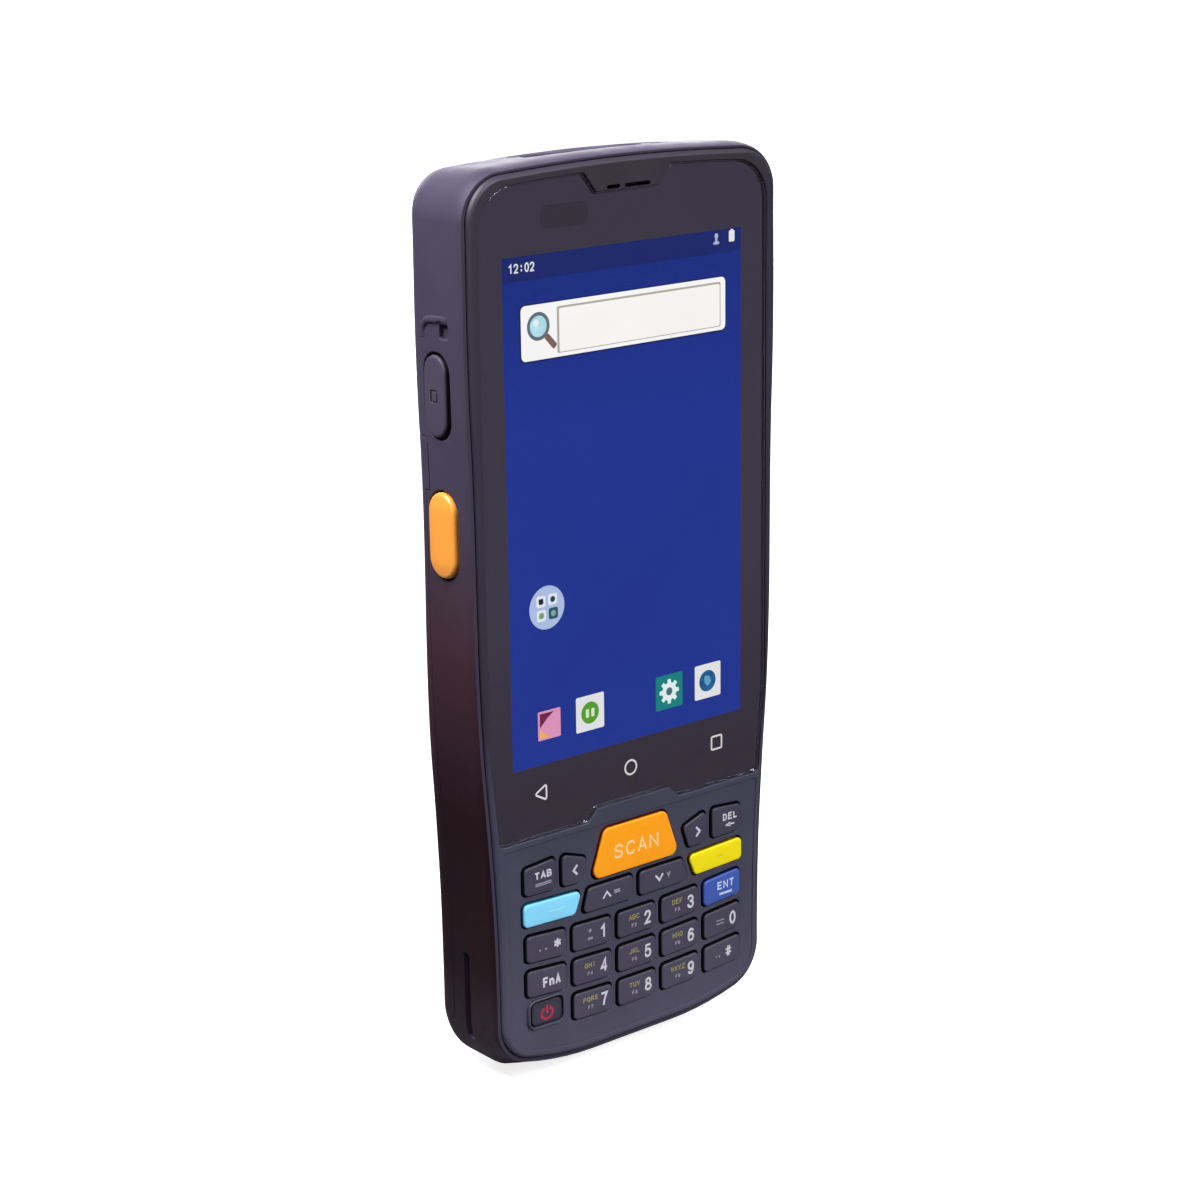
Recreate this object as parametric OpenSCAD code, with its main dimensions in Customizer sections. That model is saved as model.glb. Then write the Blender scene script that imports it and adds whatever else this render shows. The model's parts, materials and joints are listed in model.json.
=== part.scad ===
// Portable barcode data terminal: a slab-shaped handheld with a 4 inch touch
// display, a 24-key pad, side triggers, a top scan window and a rear battery.
// Millimetres. +Z runs along the length, the front faces -Y, and the origin
// is at the centre of the bottom end.

/* [Body] */
// Length of the front from its lower edge to the top
body_len = 157; // [152:0.5:162]
// How far the foot reaches below the lower edge of the front
foot_drop = 2.6; // [2:0.1:3]
// Fall of the top end towards the back
top_fall = 0.7; // [0.3:0.1:0.9]
// Half width at the display end
half_top = 34.15; // [33.95:0.05:34.4]
// Half width at the keypad end
half_bottom = 30.65; // [30.5:0.05:30.9]
// Depth from the front face to the back
body_depth = 18.8; // [18.5:0.1:19.4]
// Rounding of the back edge at the display end
back_round_top = 7.8; // [6:0.2:8]
// Rounding of the back edge at the keypad end
back_round_bottom = 4.5; // [4:0.1:6]
// Wall thickness of the housing sides
wall = 2.2; // [2:0.1:2.4]
// Gap between the front cover and the housing
cover_gap = 0.15; // [0.1:0.05:0.3]

/* [Display] */
// Height of the middle of the display above the lower edge of the front
lcd_z = 98.6; // [97:0.1:100]
// Width of the lit area
lcd_w = 51.84; // [50:0.01:53]
// Height of the lit area
lcd_h = 86.4; // [84:0.1:88]
// Thickness of the touch glass
glass_t = 1.1; // [0.8:0.1:1.1]

/* [Keypad] */
// Height that a key stands above the deck
key_proud = 0.45; // [0.4:0.05:0.7]
// Travel of a key
key_travel = 0.5; // [0.3:0.1:0.5]
// Gap between a key and its opening
key_gap = 0.3; // [0.24:0.02:0.32]
// Rise of the outer columns over the middle one
key_smile = 0.75; // [0:0.05:0.75]
// Corner rounding of the keys
key_round = 1.0; // [0.6:0.1:1.2]

/* [Side controls] */
// Height of the side triggers above the lower edge of the front
trigger_z = 96.4; // [95:0.1:98]
// Length of a side trigger
trigger_len = 14.5; // [14:0.1:16]
// Width of a side trigger
trigger_w = 7.0; // [6.8:0.1:7.6]
// Height of the port above the lower edge of the front
port_z = 119.6; // [119:0.1:120]

/* [Battery] */
// Height of the top edge of the battery door opening
door_top = 112.5; // [112:0.1:112.6]
// Width of the battery
batt_w = 51.8; // [50:0.2:52]
// Thickness of the battery
batt_t = 6.6; // [6:0.1:6.6]

/* [Hidden] */

D = body_depth;
// The middle of the depth, key tops to back, sits on the origin
y_mid = (D - key_proud) / 2;
lip_y = 1.0;            // front land of the housing round the cover
in_pocket = 0.95;       // inset of the pocket that takes the cover
in_cover = in_pocket + cover_gap;
ledge_y = 2.6;          // ledge that carries the cover seal
bay_z = 13.7;           // floor of the battery bay

module place() { translate([0, -y_mid, foot_drop]) children(); }
// a flat outline in x and z, made thick from y0 to y1
module slab(y0, y1) { translate([0, y1, 0]) rotate([90, 0, 0]) linear_extrude(y1 - y0) children(); }
// a flat outline in y and z, made thick from x0 to x1
module wide(x0, x1) { translate([x0, 0, 0]) rotate([90, 0, 90]) linear_extrude(x1 - x0) children(); }
// a box between two corners
module blk(a, b) { translate(a) cube([b[0] - a[0], b[1] - a[1], b[2] - a[2]]); }
// a round bar along y
module bar_y(x, z, r, y0, y1) { translate([x, y0, z]) rotate([-90, 0, 0]) cylinder(r = r, h = y1 - y0, $fn = 32); }
// a round bar along x
module bar_x(y, z, r, x0, x1) { translate([x0, y, z]) rotate([0, 90, 0]) cylinder(r = r, h = x1 - x0, $fn = 32); }

function clamp01(t) = min(1, max(0, t));
function ease(t) = let (u = clamp01(t)) u * u * (3 - 2 * u);
// half width along the length, a smooth curve through measured stations
prof_z = [0, 15, 30, 45, 60, 75, 88, 98, 108, 118, 130, 145];
prof_f = [0, 0, 0.0857, 0.3286, 0.6429, 0.7857, 0.8143, 0.8286, 0.8714, 0.9571, 1, 0.9714];
function prof_d(i) = (prof_f[i + 1] - prof_f[i]) / (prof_z[i + 1] - prof_z[i]);
function prof_m(i) = i == 0 || i == len(prof_z) - 1 ? 0 :
  let (g = prof_z[i] - prof_z[i - 1], h = prof_z[i + 1] - prof_z[i]) (g * prof_d(i) + h * prof_d(i - 1)) / (g + h);
function prof_seg(z, i = 0) = i >= len(prof_z) - 2 || z < prof_z[i + 1] ? i : prof_seg(z, i + 1);
function half_w(z) = let (c = min(max(z, 0), 145), i = prof_seg(c), h = prof_z[i + 1] - prof_z[i], t = (c - prof_z[i]) / h)
  half_bottom + (half_top - half_bottom) * ((1 + 2 * t) * (1 - t) * (1 - t) * prof_f[i] + t * (1 - t) * (1 - t) * h * prof_m(i)
    + t * t * (3 - 2 * t) * prof_f[i + 1] + t * t * (t - 1) * h * prof_m(i + 1));
function slope_w(z) = (half_w(z + 0.5) - half_w(z - 0.5));
function back_round(z) = back_round_bottom + (back_round_top - back_round_bottom) * ease((z - 10) / 95);

// ---- outline of the body seen from the front: [x, z, nx, nz]
rb = 8.2; rt = 8.4;
bx = half_bottom - rb; bz = 9.98;
tx = half_w(147) - rt; tz = body_len - 9.23;
function side_pt(z) = let (s = slope_w(z), n = sqrt(1 + s * s)) [half_w(z), z, 1 / n, -s / n];
half_line = concat(
  [[9, 0, 0, -1]],
  [for (a = [5, 10]) [9 + 60 * sin(a), 60 - 60 * cos(a), sin(a), -cos(a)]],
  [for (i = [0:6]) let (a = -74.95 + 74.95 * i / 6) [bx + rb * cos(a), bz + rb * sin(a), cos(a), sin(a)]],
  [for (z = [20, 30, 38, 46, 54, 62, 72, 84, 98, 108, 118, 132]) side_pt(z)],
  [for (i = [0:6]) let (a = 86.2 * i / 6) [tx + rt * cos(a), tz + rt * sin(a), cos(a), sin(a)]],
  [for (x = [13, 0]) [x, body_len - x * x / 780, x / 390, 1]]
);
hn = len(half_line);
outline = concat(half_line, [for (i = [hn - 2:-1:0]) [-half_line[i][0], half_line[i][1], -half_line[i][2], half_line[i][3]]]);

function mix3(p, s, t, b) = let (x2 = p[2] * p[2], z2 = p[3] * p[3], k = x2 + z2) (s * x2 + (p[3] > 0 ? t : b) * z2) / k;
function f_in(p, y) = let (A = mix3(p, 1.6, 1.5, 1.2), B = mix3(p, 2.4, 4.5, 1.8), t = clamp01(1 - y / B)) A * (1 - sqrt(1 - t * t));
function b_in(p, y, off) = let (r = back_round(p[1]),
    A = max(0.5, mix3(p, r, 4.2, 2.6) - off), B = max(0.5, mix3(p, r, 6, 3.6) - off),
    t = clamp01((y - (D - off - B)) / B)) A * (1 - sqrt(1 - t * t));
// the foot reaches down behind its front edge and the top end falls a little towards the back
function drop(p, y) = let (k = p[3] * p[3] / (p[2] * p[2] + p[3] * p[3]))
  k * (p[3] < 0 ? foot_drop * ease((y - 1.6) / 6.4) : top_fall * ease((y - 3) / 12));
function ring(y, off) = [for (p = outline) let (i = f_in(p, y) + b_in(p, y, off) + off) [p[0] - p[2] * i, y, p[1] - p[3] * i - drop(p, y)]];
function flat_ring(y, i) = [for (p = outline) [p[0] - p[2] * i, y, p[1] - p[3] * i]];
function inset_line(i) = [for (p = outline) [p[0] - p[2] * i, p[1] - p[3] * i]];

// a solid through rings of points that run anticlockwise seen from the front,
// each the same left and right, with its two ends closed in level strips
module loft(rings) {
  n = len(rings[0]); m = len(rings); e = (m - 1) * n; h = (n - 1) / 2;
  polyhedron(
    points = [for (r = rings) each r],
    faces = concat(
      [for (i = [0:h - 2]) [n - 1 - i, n - 2 - i, i + 1, i]],
      [[h + 1, h, h - 1]],
      [for (i = [0:h - 2]) [e + i, e + i + 1, e + n - 2 - i, e + n - 1 - i]],
      [[e + h - 1, e + h, e + h + 1]],
      [for (k = [0:m - 2]) for (i = [0:n - 1]) let (j = (i + 1) % n)
        each [[k * n + i, k * n + j, (k + 1) * n + j], [k * n + i, (k + 1) * n + j, (k + 1) * n + i]]]
    )
  );
}
body_ys = [lip_y, 1.6, 2.4, 3.4, 4.5, 5.6, 6.8, 8, D - 8, D - 6, D - 4.4, D - 3, D - 1.9, D - 1, D - 0.4, D - 0.1, D];
module body_solid() { loft([for (y = body_ys) ring(y, 0)]); }
inner_ys = [4, D - 8, D - 6, D - 4.4, D - 3.2, D - 2.2, D - 1.7, D - 1.5];
module body_inner() { loft([for (y = inner_ys) ring(y, 1.5)]); }

// ---- rounded polygon from corner points, turning clockwise or not
function unit(v) = v / norm(v);
function cross2(a, b) = a[0] * b[1] - a[1] * b[0];
function round_corner(a, p, b, r, n) =
  let (u = unit(a - p), v = unit(b - p), c = u * v, half = acos(max(-1, min(1, c))) / 2)
  half > 87 || r < 0.01 ? [p] :
  let (d = min(r / tan(half), 0.46 * min(norm(a - p), norm(b - p))), rr = d * tan(half),
       o = p + unit(u + v) * rr / sin(half),
       s = p + u * d - o, e = p + v * d - o,
       a0 = atan2(s[1], s[0]), a1 = atan2(e[1], e[0]),
       dd = a1 - a0 > 180 ? a1 - a0 - 360 : (a1 - a0 < -180 ? a1 - a0 + 360 : a1 - a0))
  [for (i = [0:n]) let (t = a0 + dd * i / n) o + rr * [cos(t), sin(t)]];
function round_poly(pts, r, n = 4) = let (m = len(pts)) [for (i = [0:m - 1]) each round_corner(pts[(i + m - 1) % m], pts[i], pts[(i + 1) % m], r, n)];
// corner points moved outward by g, for a convex outline listed clockwise
function line_hit(p, d, q, e) = p + d * cross2(q - p, e) / cross2(d, e);
function grow(pts, g) = let (m = len(pts), s = [for (i = [0:m - 1]) let (a = pts[i], b = pts[(i + 1) % m], d = unit(b - a)) [a + g * [-d[1], d[0]], d]])
  [for (i = [0:m - 1]) let (j = (i + m - 1) % m) line_hit(s[j][0], s[j][1], s[i][0], s[i][1])];

// ---- keys: outlines clockwise seen from the front, corners top left first
function smile(x) = key_smile * (x / 20.4) * (x / 20.4);
function key_quad(x0, x1, zt, zb) = [[x0, zt + smile(x0)], [x1, zt + smile(x1)], [x1, zb + smile(x1)], [x0, zb + smile(x0)]];
function key_cell(col, row) = let (x = 10.2 * col, zt = 24.65 - 6.4 * row) key_quad(x - 4.4, x + 4.4, zt, zt - 4.9);
function flip_key(q) = [[-q[1][0], q[1][1]], [-q[0][0], q[0][1]], [-q[3][0], q[3][1]], [-q[2][0], q[2][1]]];
q_scan = [[-7.1, 41.0], [7.1, 41.0], [10.2, 32.2], [-10.2, 32.2]];
q_tab = [[-25.0, 38.1], [-18.0, 38.7], [-18.0, 32.9], [-25.0, 33.1]];
q_left = [[-16.7, 38.8], [-11.0, 36.9], [-12.4, 32.6], [-16.7, 32.8]];
q_cyan = [[-25.2, 31.6], [-12.3, 31.1], [-13.9, 27.0], [-25.2, 27.4]];
q_up = [[-10.9, 31.1], [-0.7, 31.1], [-0.7, 26.5], [-12.3, 26.6]];
q_power = [[-23.9, 13.0], [-17.2, 12.9], [-17.2, 8.7], [-23.9, 8.9]];
q_tower = [q_scan, q_tab, q_left, flip_key(q_left), flip_key(q_tab),
  q_cyan, q_up, flip_key(q_up), flip_key(q_cyan),
  key_cell(-2, 0), key_cell(-1, 0), key_cell(0, 0), key_cell(1, 0), key_cell(2, 0),
  key_cell(-2, 1), key_cell(-1, 1), key_cell(0, 1), key_cell(1, 1), key_cell(2, 1),
  q_power, key_cell(-1, 2), key_cell(0, 2), key_cell(1, 2), key_cell(2, 2)];
function mid_of(q) = (q[0] + q[1] + q[2] + q[3]) / 4;

// one key: domed in two steps, with a flange under the deck and a plunger
module key_cap(q, proud = key_proud, round = key_round) {
  m = mid_of(q);
  slab(-proud, -proud + 0.15) polygon(round_poly(grow(q, -0.25), round * 0.8));
  slab(-proud + 0.15, -proud + 0.35) polygon(round_poly(grow(q, -0.08), round * 0.9));
  slab(-proud + 0.35, 2.2) polygon(round_poly(q, round));
  slab(2.15, 2.75) polygon(round_poly(grow(q, 0.45), round));
  bar_y(m[0], m[1], 1.3, 2.7, 4.25 - key_travel);
}

// ---- touch glass outline, clockwise seen from the front
function glass_half(z) = 29.7 + 1.5 * ease((z - 42) / 20);
glass_bottom = lcd_z - 55.6; glass_top = lcd_z + 55.5;
glass_line = let (b = glass_bottom, t = glass_top, g = 31.2, c = 7.2) concat(
  [[-9.4, t - 0.11], [-6.8, t - 3.5], [6.8, t - 3.5], [9.4, t - 0.11], [17, t - 0.37]],
  [for (i = [0:5]) let (a = 87 - 17.4 * i) [g - c + c * cos(a), t - 0.8 - c + c * sin(a)]],
  [for (z = [62, 57, 52, 47]) [glass_half(z), z]],
  [[glass_half(44), b + 1], [glass_half(44) - 1, b], [10.4, b], [8.3, b + 2.1], [-8.3, b + 2.1], [-10.4, b], [1 - glass_half(44), b], [-glass_half(44), b + 1]],
  [for (z = [47, 52, 57, 62]) [-glass_half(z), z]],
  [for (i = [0:5]) let (a = 180 - 17.4 * i) [-g + c + c * cos(a), t - 0.8 - c + c * sin(a)]],
  [[-17, t - 0.37]]
);

// ---- front cover
module front_cover() {
  color([0.27, 0.255, 0.29]) place() difference() {
    union() {
      loft([flat_ring(0, in_cover + 0.8), flat_ring(0.16, in_cover + 0.42), flat_ring(0.45, in_cover + 0.13), flat_ring(1.0, in_cover), flat_ring(1.9, in_cover)]);
      // guard ring round the power key
      slab(-0.4, 0.5) polygon(round_poly(grow(q_power, 0.7), 1.7));
      // screw bosses, reaching back into the housing
      for (x = [-26.2, 26.2]) bar_y(x, 148.6, 2.1, 1.6, 8.4);
      for (x = [-26.9, 26.9]) bar_y(x, 10.9, 1.5, 1.6, 8.4);
    }
    // recess for the glass, and the window behind it
    slab(-1, glass_t + 0.35) offset_glass(0.12);
    blk([-28.4, -1, 50.6], [28.4, 3, 146]);
    // keypad deck, a little lower than the rim
    slab(-1, 0.15) deck_cut();
    // key openings
    for (q = q_tower) slab(-2, 3) polygon(round_poly(grow(q, key_gap), key_round + 0.15));
    // earpiece slot in the top tab
    blk([-4.5, -1, 150.9], [-1.7, 3, 151.6]);
    blk([-0.6, -1, 150.9], [4.8, 3, 151.6]);
    // light pipe opening
    blk([-15, 0, 147.1], [-11, 3, 149.4]);
    // pilot holes for the housing screws
    for (x = [-26.2, 26.2]) bar_y(x, 148.6, 0.95, 1.75, 10);
    for (x = [-26.9, 26.9]) bar_y(x, 10.9, 0.95, 1.75, 10);
  }
}
module offset_glass(g) {
  // glass outline widened by g all round, by growing about its middle
  c = (glass_top + glass_bottom) / 2; h = (glass_top - glass_bottom) / 2;
  polygon([for (p = glass_line) [p[0] * (1 + g / 31.2), c + (p[1] - c) * (1 + g / h)]]);
}
module deck_cut() {
  difference() {
    polygon([for (p = outline) [p[0] - p[2] * (in_cover + 1.35), p[1] - p[3] * (in_cover + 1.35)]]);
    translate([-50, 41.9]) square([100, 130]);
    polygon(round_poly(grow(q_power, 0.7), 1.7));
  }
}

// ---- seal between the cover and the ledge of the housing
module cover_seal() {
  color([0.12, 0.12, 0.13]) place() slab(1.95, 2.55) difference() {
    polygon(inset_line(in_pocket + 0.1));
    polygon(inset_line(in_pocket + 0.62));
  }
}

// ---- rear housing
module pill_side(x0, x1, y, z, w, l) {
  // a slot with round ends, through from x0 to x1, long along z
  bar_x(y, z + (l - w) / 2, w / 2, x0, x1);
  bar_x(y, z - (l - w) / 2, w / 2, x0, x1);
  blk([x0, y - w / 2, z - (l - w) / 2], [x1, y + w / 2, z + (l - w) / 2]);
}
trig_y = 8.0;
port_y = 8.2;
flap_y = 8.5;           // the port cover sits back from the middle of its seat
rocker_z = 119.6; rocker_l = 20; rocker_w = 5;
door_line = [[12.8, 8], [12.8, 103.3], [11.4, 103.3], [11.4, door_top - 1.4], [11.75, door_top - 0.5], [12.5, door_top], [D + 9, door_top], [D + 9, 8]];
module hollow_body() {
  difference() {
    body_solid();
    // pocket for the front cover and the main hollow
    slab(-1, ledge_y) polygon(inset_line(in_pocket));
    slab(ledge_y - 0.1, 8.6) polygon(inset_line(wall));
    // deeper hollow at the display end
    difference() {
      union() {
        slab(8.5, 12.4) polygon(inset_line(wall));
        slab(12.3, 15.2) polygon(inset_line(wall + 2.3));
        slab(15.1, D - 1.8) polygon(inset_line(wall + 5.2));
      }
      blk([-50, 0, -5], [50, 30, door_top + 1.6]);
    }
    // hollow between the battery tub and the display end
    difference() {
      slab(8.5, 10.2) polygon(inset_line(wall));
      blk([-50, 0, -5], [50, 30, 103.4]);
    }
    // hollows beside the battery tub
    difference() {
      slab(8.5, 11.6) polygon(inset_line(wall));
      blk([-27.5, 0, -5], [27.5, 30, 200]);
      blk([-50, 0, -5], [50, 30, 14]);
      blk([-50, 0, 102], [50, 30, 200]);
    }
  }
}
module rear_housing() {
  color([0.29, 0.275, 0.31]) place() difference() {
    union() {
      hollow_body();
      for (x = [-26.2, 26.2]) bar_y(x, 148.6, 2.9, 8.6, 16);
    }
    // battery bay and the room under its door
    blk([-batt_w / 2 - 0.4, 9.8, bay_z], [batt_w / 2 + 0.4, 30, 102]);
    wide(-60, 60) polygon(door_line);
    // slots for the tongues of the door
    for (x = [-17, 17]) blk([x - 3.4, 16.0, 6.4], [x + 3.4, 17.7, 8.2]);
    // notch that takes the latch bolt
    blk([-3.4, 15.6, door_top - 0.1], [3.4, D + 1, door_top + 1.7]);
    // trigger and rocker openings
    for (s = [-1, 1]) pill_side(s * 33 - 4, s * 33 + 4, trig_y, trigger_z, trigger_w + 0.6, trigger_len + 0.6);
    pill_side(29, 37, port_y, rocker_z, rocker_w + 0.5, rocker_l + 0.5);
    // seat of the port cover, and the port behind it
    pill_side(-36, -33.2, port_y, port_z, 6.9, 14.5);
    blk([-36, port_y - 2.1, port_z - 5.2], [-31, port_y + 2.1, port_z + 5.6]);
    // nail notch over the port cover
    blk([-36, 4.7, 129.2], [-33.3, 7.0, 131.6]);
    // strap slots at the bottom corners
    for (s = [-1, 1]) pill_side(s * 31.4 - 2.5, s * 31.4 + 2.5, 9.1, 13.5, 1.7, 16.5);
    // scan window opening with a shallow scoop round it
    blk([-15.5, 6.6, body_len - 1.0], [15.5, 13.2, body_len + 3]);
    blk([-13, 7.4, body_len - 6], [13, 12.4, body_len + 3]);
    // rear camera, flash and loudspeaker openings
    bar_y(14, 141, 4.6, 13, D + 1);
    bar_y(22.6, 141, 2.2, 13, D + 1);
    for (i = [-2:2]) for (j = [-1:1]) bar_y(-18 + 2.4 * i, 126 + 2.4 * j, 0.6, 13, D + 1);
    blk([-25, 13, 120.4], [-11, D - 1.0, 131.6]);
    // screw seats at the back
    for (x = [-26.2, 26.2]) { bar_y(x, 148.6, 1.25, 6, D + 1); bar_y(x, 148.6, 2.3, D - 4.6, D + 1); }
    for (x = [-26.9, 26.9]) { bar_y(x, 10.9, 1.25, 5, D + 1); bar_y(x, 10.9, 2.1, 11.9, D + 1); bar_y(x, 10.9, 1.8, 2, 8.7); }
    // charge contact and microphone holes in the bottom end
    for (x = [-7.5, -2.5, 2.5, 7.5]) translate([x, 9.4, -foot_drop - 1]) cylinder(r = 1.3, h = foot_drop + 4.2, $fn = 32);
    translate([14, 5.5, -foot_drop - 1]) cylinder(r = 0.5, h = foot_drop + 5, $fn = 24);
    // battery contact holes in the bottom wall of the bay
    for (x = [-9, -3, 3, 9]) translate([x, 12.2, bay_z - 1.2]) cylinder(r = 0.85, h = 2, $fn = 24);
  }
}

// ---- display stack
module touch_glass() {
  color([0.09, 0.08, 0.09]) place() slab(0.22, 0.22 + glass_t) polygon(glass_line);
}
module lcd_panel() {
  color([0.12, 0.22, 0.58]) place() {
    blk([-27.9, 1.5, lcd_z - 47.4], [27.9, 3.5, lcd_z + 46.8]);
    blk([-lcd_w / 2, 1.4, lcd_z - lcd_h / 2], [lcd_w / 2, 1.55, lcd_z + lcd_h / 2]);
  }
}
module display_frame() {
  color([0.62, 0.63, 0.65]) place() difference() {
    union() {
      blk([-28.9, 3.7, 47], [28.9, 4.4, 146.2]);
      for (s = [-1, 1]) blk([s * 28.55 - 0.35, 2.1, 50], [s * 28.55 + 0.35, 4.2, 86]);
    }
    for (z = [60, 84, 108, 132]) for (x = [-18, 18]) bar_y(x, z, 3, 3, 5);
  }
}
module earpiece() {
  color([0.2, 0.2, 0.22]) place() slab(2.2, 4.6) polygon(round_poly([[-7, 153.6], [7, 153.6], [7, 149], [-7, 149]], 2));
}
module status_light() {
  color([0.85, 0.9, 0.85]) place() {
    blk([-14.8, 1.4, 147.3], [-11.2, 3.0, 149.2]);
    blk([-13.8, 2.9, 147.6], [-12.2, 5.7, 148.9]);
  }
}

// ---- keypad stack
module keypad_board() {
  color([0.1, 0.35, 0.2]) place() difference() {
    slab(4.8, 5.6) polygon(round_poly([[-27.6, 41.6], [27.6, 41.6], [27.0, 8.4], [15.5, 6.4], [-15.5, 6.4], [-27.0, 8.4]], 2));
    for (x = [-12, 12]) bar_y(x, 40, 0.9, 4, 7);
    for (x = [-26.9, 26.9]) bar_y(x, 10.9, 1.9, 4, 7);
  }
}
module dome_switches() {
  color([0.8, 0.8, 0.78]) place() for (q = q_tower) let (m = mid_of(q)) {
    bar_y(m[0], m[1], 1.9, 4.35, 4.8);
  }
}
module keypad_flex() {
  color([0.75, 0.5, 0.2]) place() {
    blk([-8, 5.65, 36], [8, 5.85, 48.5]);
    blk([-8, 5.65, 48.3], [8, 6.4, 48.5]);
  }
}

// ---- electronics
module main_board() {
  color([0.1, 0.38, 0.22]) place() difference() {
    blk([-27.2, 6.4, 49], [27.2, 7.2, 136.6]);
    blk([10, 6, 118], [27.5, 8, 124]);
    blk([-28, 6, port_z - 5.2], [-24.9, 8, port_z + 5.2]);
    for (x = [-24, 24]) for (z = [52, 110]) bar_y(x, z, 1.1, 6, 8);
  }
}
module shield_cans() {
  color([0.75, 0.76, 0.78]) place() {
    blk([-22, 4.7, 56], [-2, 6.35, 84]);
    blk([2, 4.7, 56], [22, 6.35, 76]);
    blk([-20, 4.7, 90], [16, 6.35, 112]);
    blk([-8, 7.25, 117], [6, 8.7, 133]);
  }
}
module side_switches() {
  color([0.15, 0.15, 0.16]) place() {
    for (s = [-1, 1]) blk([s * 28.1 - 0.85, 5.7, trigger_z - 3], [s * 28.1 + 0.85, 8.5, trigger_z + 3]);
    for (z = [rocker_z - 6, rocker_z + 6]) blk([27.4, 5.9, z - 2], [29.2, 8.5, z + 2]);
  }
}
module scan_engine() {
  color([0.16, 0.16, 0.18]) place() difference() {
    blk([-11.4, 6.6, 139.4], [9.4, 13.6, 152.2]);
    translate([-5, 10, 148]) cylinder(r = 2.6, h = 6, $fn = 40);
    translate([5.4, 10, 149]) cylinder(r = 1.6, h = 6, $fn = 40);
  }
}
module scan_window() {
  color([0.16, 0.02, 0.03]) place() blk([-12.8, 7.6, body_len - 2.6], [12.8, 12.2, body_len - 1.6]);
}
module scan_window_seal() {
  color([0.1, 0.1, 0.1]) place() difference() {
    blk([-12.9, 7.5, body_len - 3.5], [12.9, 12.3, body_len - 2.7]);
    blk([-11.4, 8.5, body_len - 4], [11.4, 11.3, body_len - 2]);
  }
}
module camera_module() {
  color([0.14, 0.14, 0.15]) place() {
    blk([10, 8, 137], [18, 13.6, 145]);
    bar_y(14, 141, 3.3, 13.4, 16.6);
  }
}
module camera_window() {
  color([0.05, 0.05, 0.06]) place() difference() {
    bar_y(14, 141, 4.4, 17.4, D - 0.3);
    bar_y(14, 141, 2.2, 17.0, 17.9);
  }
}
module flash_lens() {
  color([0.95, 0.93, 0.8]) place() {
    bar_y(22.6, 141, 2.0, 16.0, D - 0.25);
    bar_y(22.6, 141, 2.8, 15.4, 16.1);
  }
}
module loudspeaker() {
  color([0.2, 0.2, 0.22]) place() {
    blk([-24.8, 10, 120.6], [-11.2, 15.6, 131.4]);
    blk([-23.5, 9.0, 122], [-12.5, 10.1, 130]);
  }
}
module speaker_mesh() {
  color([0.1, 0.1, 0.11]) place() blk([-24.6, 17.2, 120.8], [-11.4, 17.7, 131.2]);
}
module vibration_motor() {
  color([0.7, 0.7, 0.72]) place() {
    bar_x(8.4, 121, 2.3, 12.4, 21);
    bar_x(8.4, 121, 0.5, 21, 22.4);
    translate([22.2, 8.4, 121]) rotate([0, 90, 0]) difference() {
      cylinder(r = 2.1, h = 3.2, $fn = 32);
      translate([-3, 0.1, -1]) cube([6, 4, 6]);
    }
  }
}
module usb_socket() {
  color([0.78, 0.79, 0.8]) place() difference() {
    union() {
      pill_side(-31.8, -25.2, port_y, port_z, 3.4, 9.1);
      blk([-31, 7.25, port_z - 4.2], [-25.4, 8.95, port_z + 4.2]);
    }
    pill_side(-33, -26, port_y, port_z, 2.8, 8.5);
  }
}
module card_socket() {
  color([0.75, 0.75, 0.77]) place() difference() {
    blk([-26.4, 7.25, 126.6], [-13, 7.95, 136.2]);
    blk([-27, 7.45, 128.2], [-14, 7.75, 134.8]);
  }
}
module antenna() {
  color([0.8, 0.6, 0.3]) place() {
    blk([15, 8.9, 146.6], [23, 9.2, 152]);
    blk([15, 8.9, 152], [20, 9.2, 153.6]);
  }
}
module battery_contacts() {
  color([0.85, 0.7, 0.35]) place() for (x = [-9, -3, 3, 9]) {
    translate([x, 12.2, bay_z - 1.15]) cylinder(r = 0.75, h = 1.5, $fn = 24);
  }
}
module charge_contacts() {
  color([0.85, 0.7, 0.35]) place() for (x = [-7.5, -2.5, 2.5, 7.5]) translate([x, 9.4, 0.25 - foot_drop]) cylinder(r = 1.2, h = foot_drop + 2.6, $fn = 32);
}
module screw(x, z, y_tip, y_head, r_head) {
  bar_y(x, z, 0.9, y_tip, y_head + 0.2);
  difference() {
    bar_y(x, z, r_head, y_head, y_head + 1.6);
    translate([x, y_head + 0.7, z]) rotate([-90, 0, 0]) cylinder(r = 0.8, h = 2, $fn = 6);
  }
}
module housing_screws() {
  color([0.35, 0.35, 0.37]) place() {
    for (x = [-26.2, 26.2]) screw(x, 148.6, 2.4, D - 4.55, 2.1);
    for (x = [-26.9, 26.9]) screw(x, 10.9, 2.4, 11.95, 1.9);
  }
}

// ---- side controls
module trigger_at(s) {
  // domed in three steps, with a flange at each end behind the wall
  w = trigger_w; l = trigger_len;
  x_out = half_w(trigger_z) + 0.95;
  mirror([s < 0 ? 1 : 0, 0, 0]) {
    pill_side(31.0, x_out, trig_y, trigger_z, w - 2.4, l - 2.4);
    pill_side(31.0, x_out - 0.25, trig_y, trigger_z, w - 1.0, l - 1.0);
    pill_side(30.4, x_out - 0.6, trig_y, trigger_z, w, l);
    blk([30.4, trig_y - 2.0, trigger_z - l / 2 - 0.8], [31.0, trig_y + 2.0, trigger_z + l / 2 + 0.8]);
    blk([30.0, trig_y - 1.2, trigger_z - 1.6], [30.7, trig_y + 1.2, trigger_z + 1.6]);
  }
}
module left_trigger() { color([1.0, 0.62, 0.16]) place() trigger_at(-1); }
module right_trigger() { color([1.0, 0.62, 0.16]) place() trigger_at(1); }
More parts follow.
